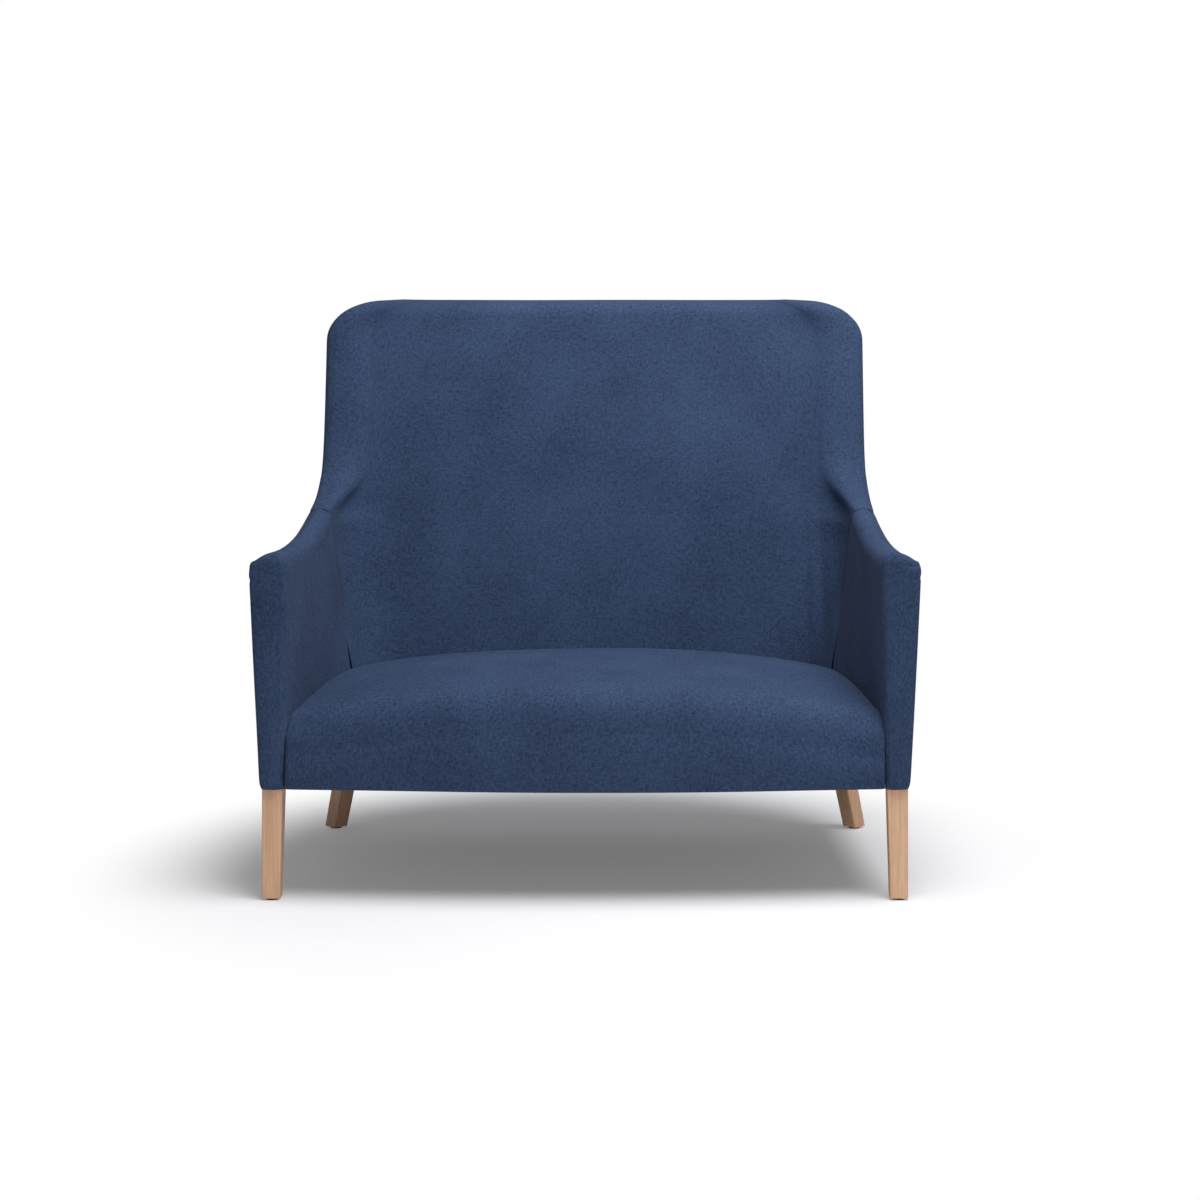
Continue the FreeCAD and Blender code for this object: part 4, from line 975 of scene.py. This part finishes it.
class SETTEE_OT_underside(bpy.types.Operator):
    """Dust sheet under the frame, with its staples"""
    bl_idname = "settee.underside"
    bl_label = "Underside"

    def execute(self, context):
        low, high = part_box("dust_sheet_cloth")
        half = high.x
        clip = 0.104
        rows = np.concatenate([np.linspace(0, 1, 25)[:-4], np.linspace(0.84, 1, 12)])
        points = []
        for share in rows:
            start = low.y + 0.035
            y = start + share * (high.y - start)
            wide = half - max(0.0, y - (high.y - clip))
            row = []
            for u in np.linspace(-1, 1, 41):
                x = u * wide
                ahead = -0.035 * (1 - (x / half) ** 2) * (1 - share)
                sag = 0.003 * (1 - u * u) * 4 * share * (1 - share)
                row.append((x, y + ahead, low.z + 0.0008 - sag))
            points.append(row)
        grid = np.array(points)
        piece = cloth_grid("dust_sheet", grid, facing=Vector((0, 0, -1)))
        black = cloth_material("black lining cloth", bpy.data.node_groups["melange weave"],
                               (0.030, 0.030, 0.033), (0.012, 0.012, 0.014), 0.0009, 0.004, 0.1, 0.3)
        finished(piece, 0.0006, 0, black)
        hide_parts("dust_sheet_cloth")
        inset = 0.010
        front = grid[0] + (0, inset, -0.0006)
        rear = grid[-1] - (0, inset, 0.0006)
        right = grid[:, -1] - (inset, 0, 0.0006)
        left = grid[:, 0] + (inset, 0, -0.0006)
        steel = speckled_material("bright staple wire", (0.55, 0.55, 0.57), (0.7, 0.7, 0.72), 300.0, 0.25,
                                  1.0)
        staple = small_bar("staple", 0.011, 0.0011, 0.0009, 0.6)
        repeated("dust_sheet_staples", [front[1:-1], rear[1:-1], right[1:-1], left[1:-1]], staple, 0.042,
                 (0.0, 0.0, -1.0), steel)
        return {"FINISHED"}


class SETTEE_OT_seams(bpy.types.Operator):
    """Slip stitches that close the outside back"""
    bl_idname = "settee.seams"
    bl_label = "Seams"

    def execute(self, context):
        form = context.scene.settee_form
        look = context.scene.settee_look
        thread = cloth_material("navy thread", bpy.data.node_groups["melange weave"], look.fabric_light,
                                look.fabric_dark, 0.0006, 0.002, 0.2, 0.3)
        rows = []
        for side, name in ((1, "right"), (-1, "left")):
            line = []
            for level in np.linspace(UNDER + 0.02, 1.150, 90):
                x, y = back_outline(form, level)[REAR_SEAM]
                line.append((side * (x - 0.0008), y, level))
            rows.append((name, line, (float(side), 0.25, 0.0)))
        half = [(x, y + 0.0004, SEAM_TOP_LEVEL + 0.0005)
                for x, y in back_outline(form, SEAM_TOP_LEVEL)[:REAR_SEAM + 1]]
        rows.append(("top", [(-x, y, z) for x, y, z in half[:0:-1]] + half, (0.0, 1.0, 0.0)))
        for name, line, face in rows:
            stitch = small_bar("stitch", 0.0045, 0.0009, 0.0008, 0.8)
            repeated("outside_back_stitches_" + name, [line], stitch, 0.009, face, thread)
        return {"FINISHED"}


class SETTEE_OT_frame(bpy.types.Operator):
    """Finishes for the legs and for every frame piece inside"""
    bl_idname = "settee.frame"
    bl_label = "Frame finishes"

    def execute(self, context):
        look = context.scene.settee_look
        grain = grain_group()
        oak = wood_material("oiled oak", grain, look.oak_light, look.oak_dark)
        beech = {axis: wood_material("planed beech " + axis, grain, (0.62, 0.45, 0.28), (0.47, 0.31, 0.18),
                                     turn, 0.5)
                 for axis, turn in (("up", (0, 0, 0)), ("across", (0, math.pi / 2, 0)),
                                    ("deep", (math.pi / 2, 0, 0)))}
        board = speckled_material("grey lining board", (0.42, 0.36, 0.29), (0.52, 0.45, 0.36), 160.0, 0.7)
        steel = speckled_material("drawn spring wire", (0.42, 0.42, 0.44), (0.6, 0.6, 0.62), 400.0, 0.3, 1.0)
        nylon = speckled_material("black nylon", (0.02, 0.02, 0.02), (0.045, 0.045, 0.05), 250.0, 0.45)
        for name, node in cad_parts.items():
            low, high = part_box(name)
            size = high - low
            if name.startswith(("front_leg", "rear_leg")):
                finish = oak
            elif name == "leg_glides":
                finish = nylon
            elif name.startswith("arm_lining"):
                finish = board
            elif name in ("seat_springs", "spring_clips", "leg_bolts"):
                finish = steel
            elif size.z > max(size.x, size.y):
                finish = beech["up"]
            elif size.x > size.y:
                finish = beech["across"]
            else:
                finish = beech["deep"]
            node.data.materials.clear()
            node.data.materials.append(finish)
        return {"FINISHED"}


class SETTEE_OT_stage(bpy.types.Operator):
    """Floor, lights, world and camera"""
    bl_idname = "settee.stage"
    bl_label = "Stage"

    def execute(self, context):
        scene = context.scene
        scene.view_settings.view_transform = "Standard"
        self.floor(scene)
        self.world(scene)
        self.light("softbox above", (0.7, -0.9, 3.2), (0.0, 0.0, 0.4), 2.4, 116)
        self.light("softbox front", (0.9, -4.2, 1.9), (0.0, 0.0, 0.6), 2.4, 14)
        data = bpy.data.cameras.new("camera")
        data.lens = 62.4
        data.sensor_width = 36.0
        data.shift_x = -54 / 1200
        data.shift_y = -200 / 1200
        camera = added("camera", data)
        camera.location = (0.133, FRONT - 4.0, 0.965)
        camera.rotation_euler = (math.pi / 2, 0, 0)
        scene.camera = camera
        return {"FINISHED"}

    def light(self, name, place, target, across, power):
        data = bpy.data.lights.new(name, "AREA")
        data.shape = "DISK"
        data.size = across
        data.energy = power
        lamp = added(name, data)
        lamp.location = place
        aim = Vector(target) - Vector(place)
        lamp.rotation_euler = aim.to_track_quat("-Z", "Y").to_euler()

    def world(self, scene):
        world = bpy.data.worlds.new("studio")
        scene.world = world
        world.use_nodes = True
        nodes, links = world.node_tree.nodes, world.node_tree.links
        shown = nodes.new("ShaderNodeBackground")
        shown.inputs["Color"].default_value = (1, 1, 1, 1)
        lit = nodes["Background"]
        lit.inputs["Color"].default_value = (0.96, 0.97, 1.0, 1)
        lit.inputs["Strength"].default_value = 0.20
        path = nodes.new("ShaderNodeLightPath")
        blended(nodes, links, path.outputs["Is Camera Ray"], lit, shown, "World Output")

    def floor(self, scene):
        mesh = bpy.data.meshes.new("floor")
        work = bmesh.new()
        bmesh.ops.create_grid(work, x_segments=24, y_segments=24, size=9.0)
        work.to_mesh(mesh)
        work.free()
        floor = added("floor", mesh)
        material, nodes, links, shader, place = new_material("pale studio floor")
        shader.inputs["Base Color"].default_value = (*scene.settee_look.floor, 1.0)
        shader.inputs["Roughness"].default_value = 0.9
        shader.inputs["Specular IOR Level"].default_value = 0.0
        white = nodes.new("ShaderNodeEmission")
        white.inputs["Color"].default_value = (1, 1, 1, 1)
        flat = nodes.new("ShaderNodeVectorMath")
        flat.operation = "MULTIPLY"
        flat.inputs[1].default_value = (1.0, 1.0, 0.0)
        links.new(place, flat.inputs[0])
        far = nodes.new("ShaderNodeVectorMath")
        far.operation = "LENGTH"
        links.new(flat.outputs[0], far.inputs[0])
        fade = ranged(nodes, links, far.outputs["Value"], 0.62, 1.10)
        fade.interpolation_type = "SMOOTHSTEP"
        fade.inputs["To Min"].default_value = 0.14
        path = nodes.new("ShaderNodeLightPath")
        share = math_node(nodes, links, "MULTIPLY", fade.outputs[0], path.outputs["Is Camera Ray"])
        blended(nodes, links, share, shader, white, "Material Output")
        mesh.materials.append(material)


class SETTEE_PT_panel(bpy.types.Panel):
    """Sizes, colours and the steps that build the settee"""
    bl_idname = "SETTEE_PT_panel"
    bl_label = "Settee"
    bl_space_type = "VIEW_3D"
    bl_region_type = "UI"
    bl_category = "Settee"

    def draw(self, context):
        for group in (context.scene.settee_form, context.scene.settee_look):
            for name in group.__annotations__:
                self.layout.prop(group, name)
        for step in STEPS:
            self.layout.operator(step.bl_idname)


STEPS = (SETTEE_OT_frame, SETTEE_OT_back, SETTEE_OT_arms, SETTEE_OT_seat, SETTEE_OT_underside,
         SETTEE_OT_seams, SETTEE_OT_stage)
CLASSES = (SetteeForm, SetteeLook, *STEPS, SETTEE_PT_panel)


def register():
    for item in CLASSES:
        bpy.utils.register_class(item)
    bpy.types.Scene.settee_form = PointerProperty(type=SetteeForm)
    bpy.types.Scene.settee_look = PointerProperty(type=SetteeLook)


def unregister():
    del bpy.types.Scene.settee_look
    del bpy.types.Scene.settee_form
    for item in reversed(CLASSES):
        bpy.utils.unregister_class(item)


def main():
    register()
    bpy.ops.settee.frame()
    bpy.ops.settee.back()
    bpy.ops.settee.arms()
    bpy.ops.settee.seat()
    bpy.ops.settee.underside()
    bpy.ops.settee.seams()
    bpy.ops.settee.stage()


if __name__ == "__main__":
    main()
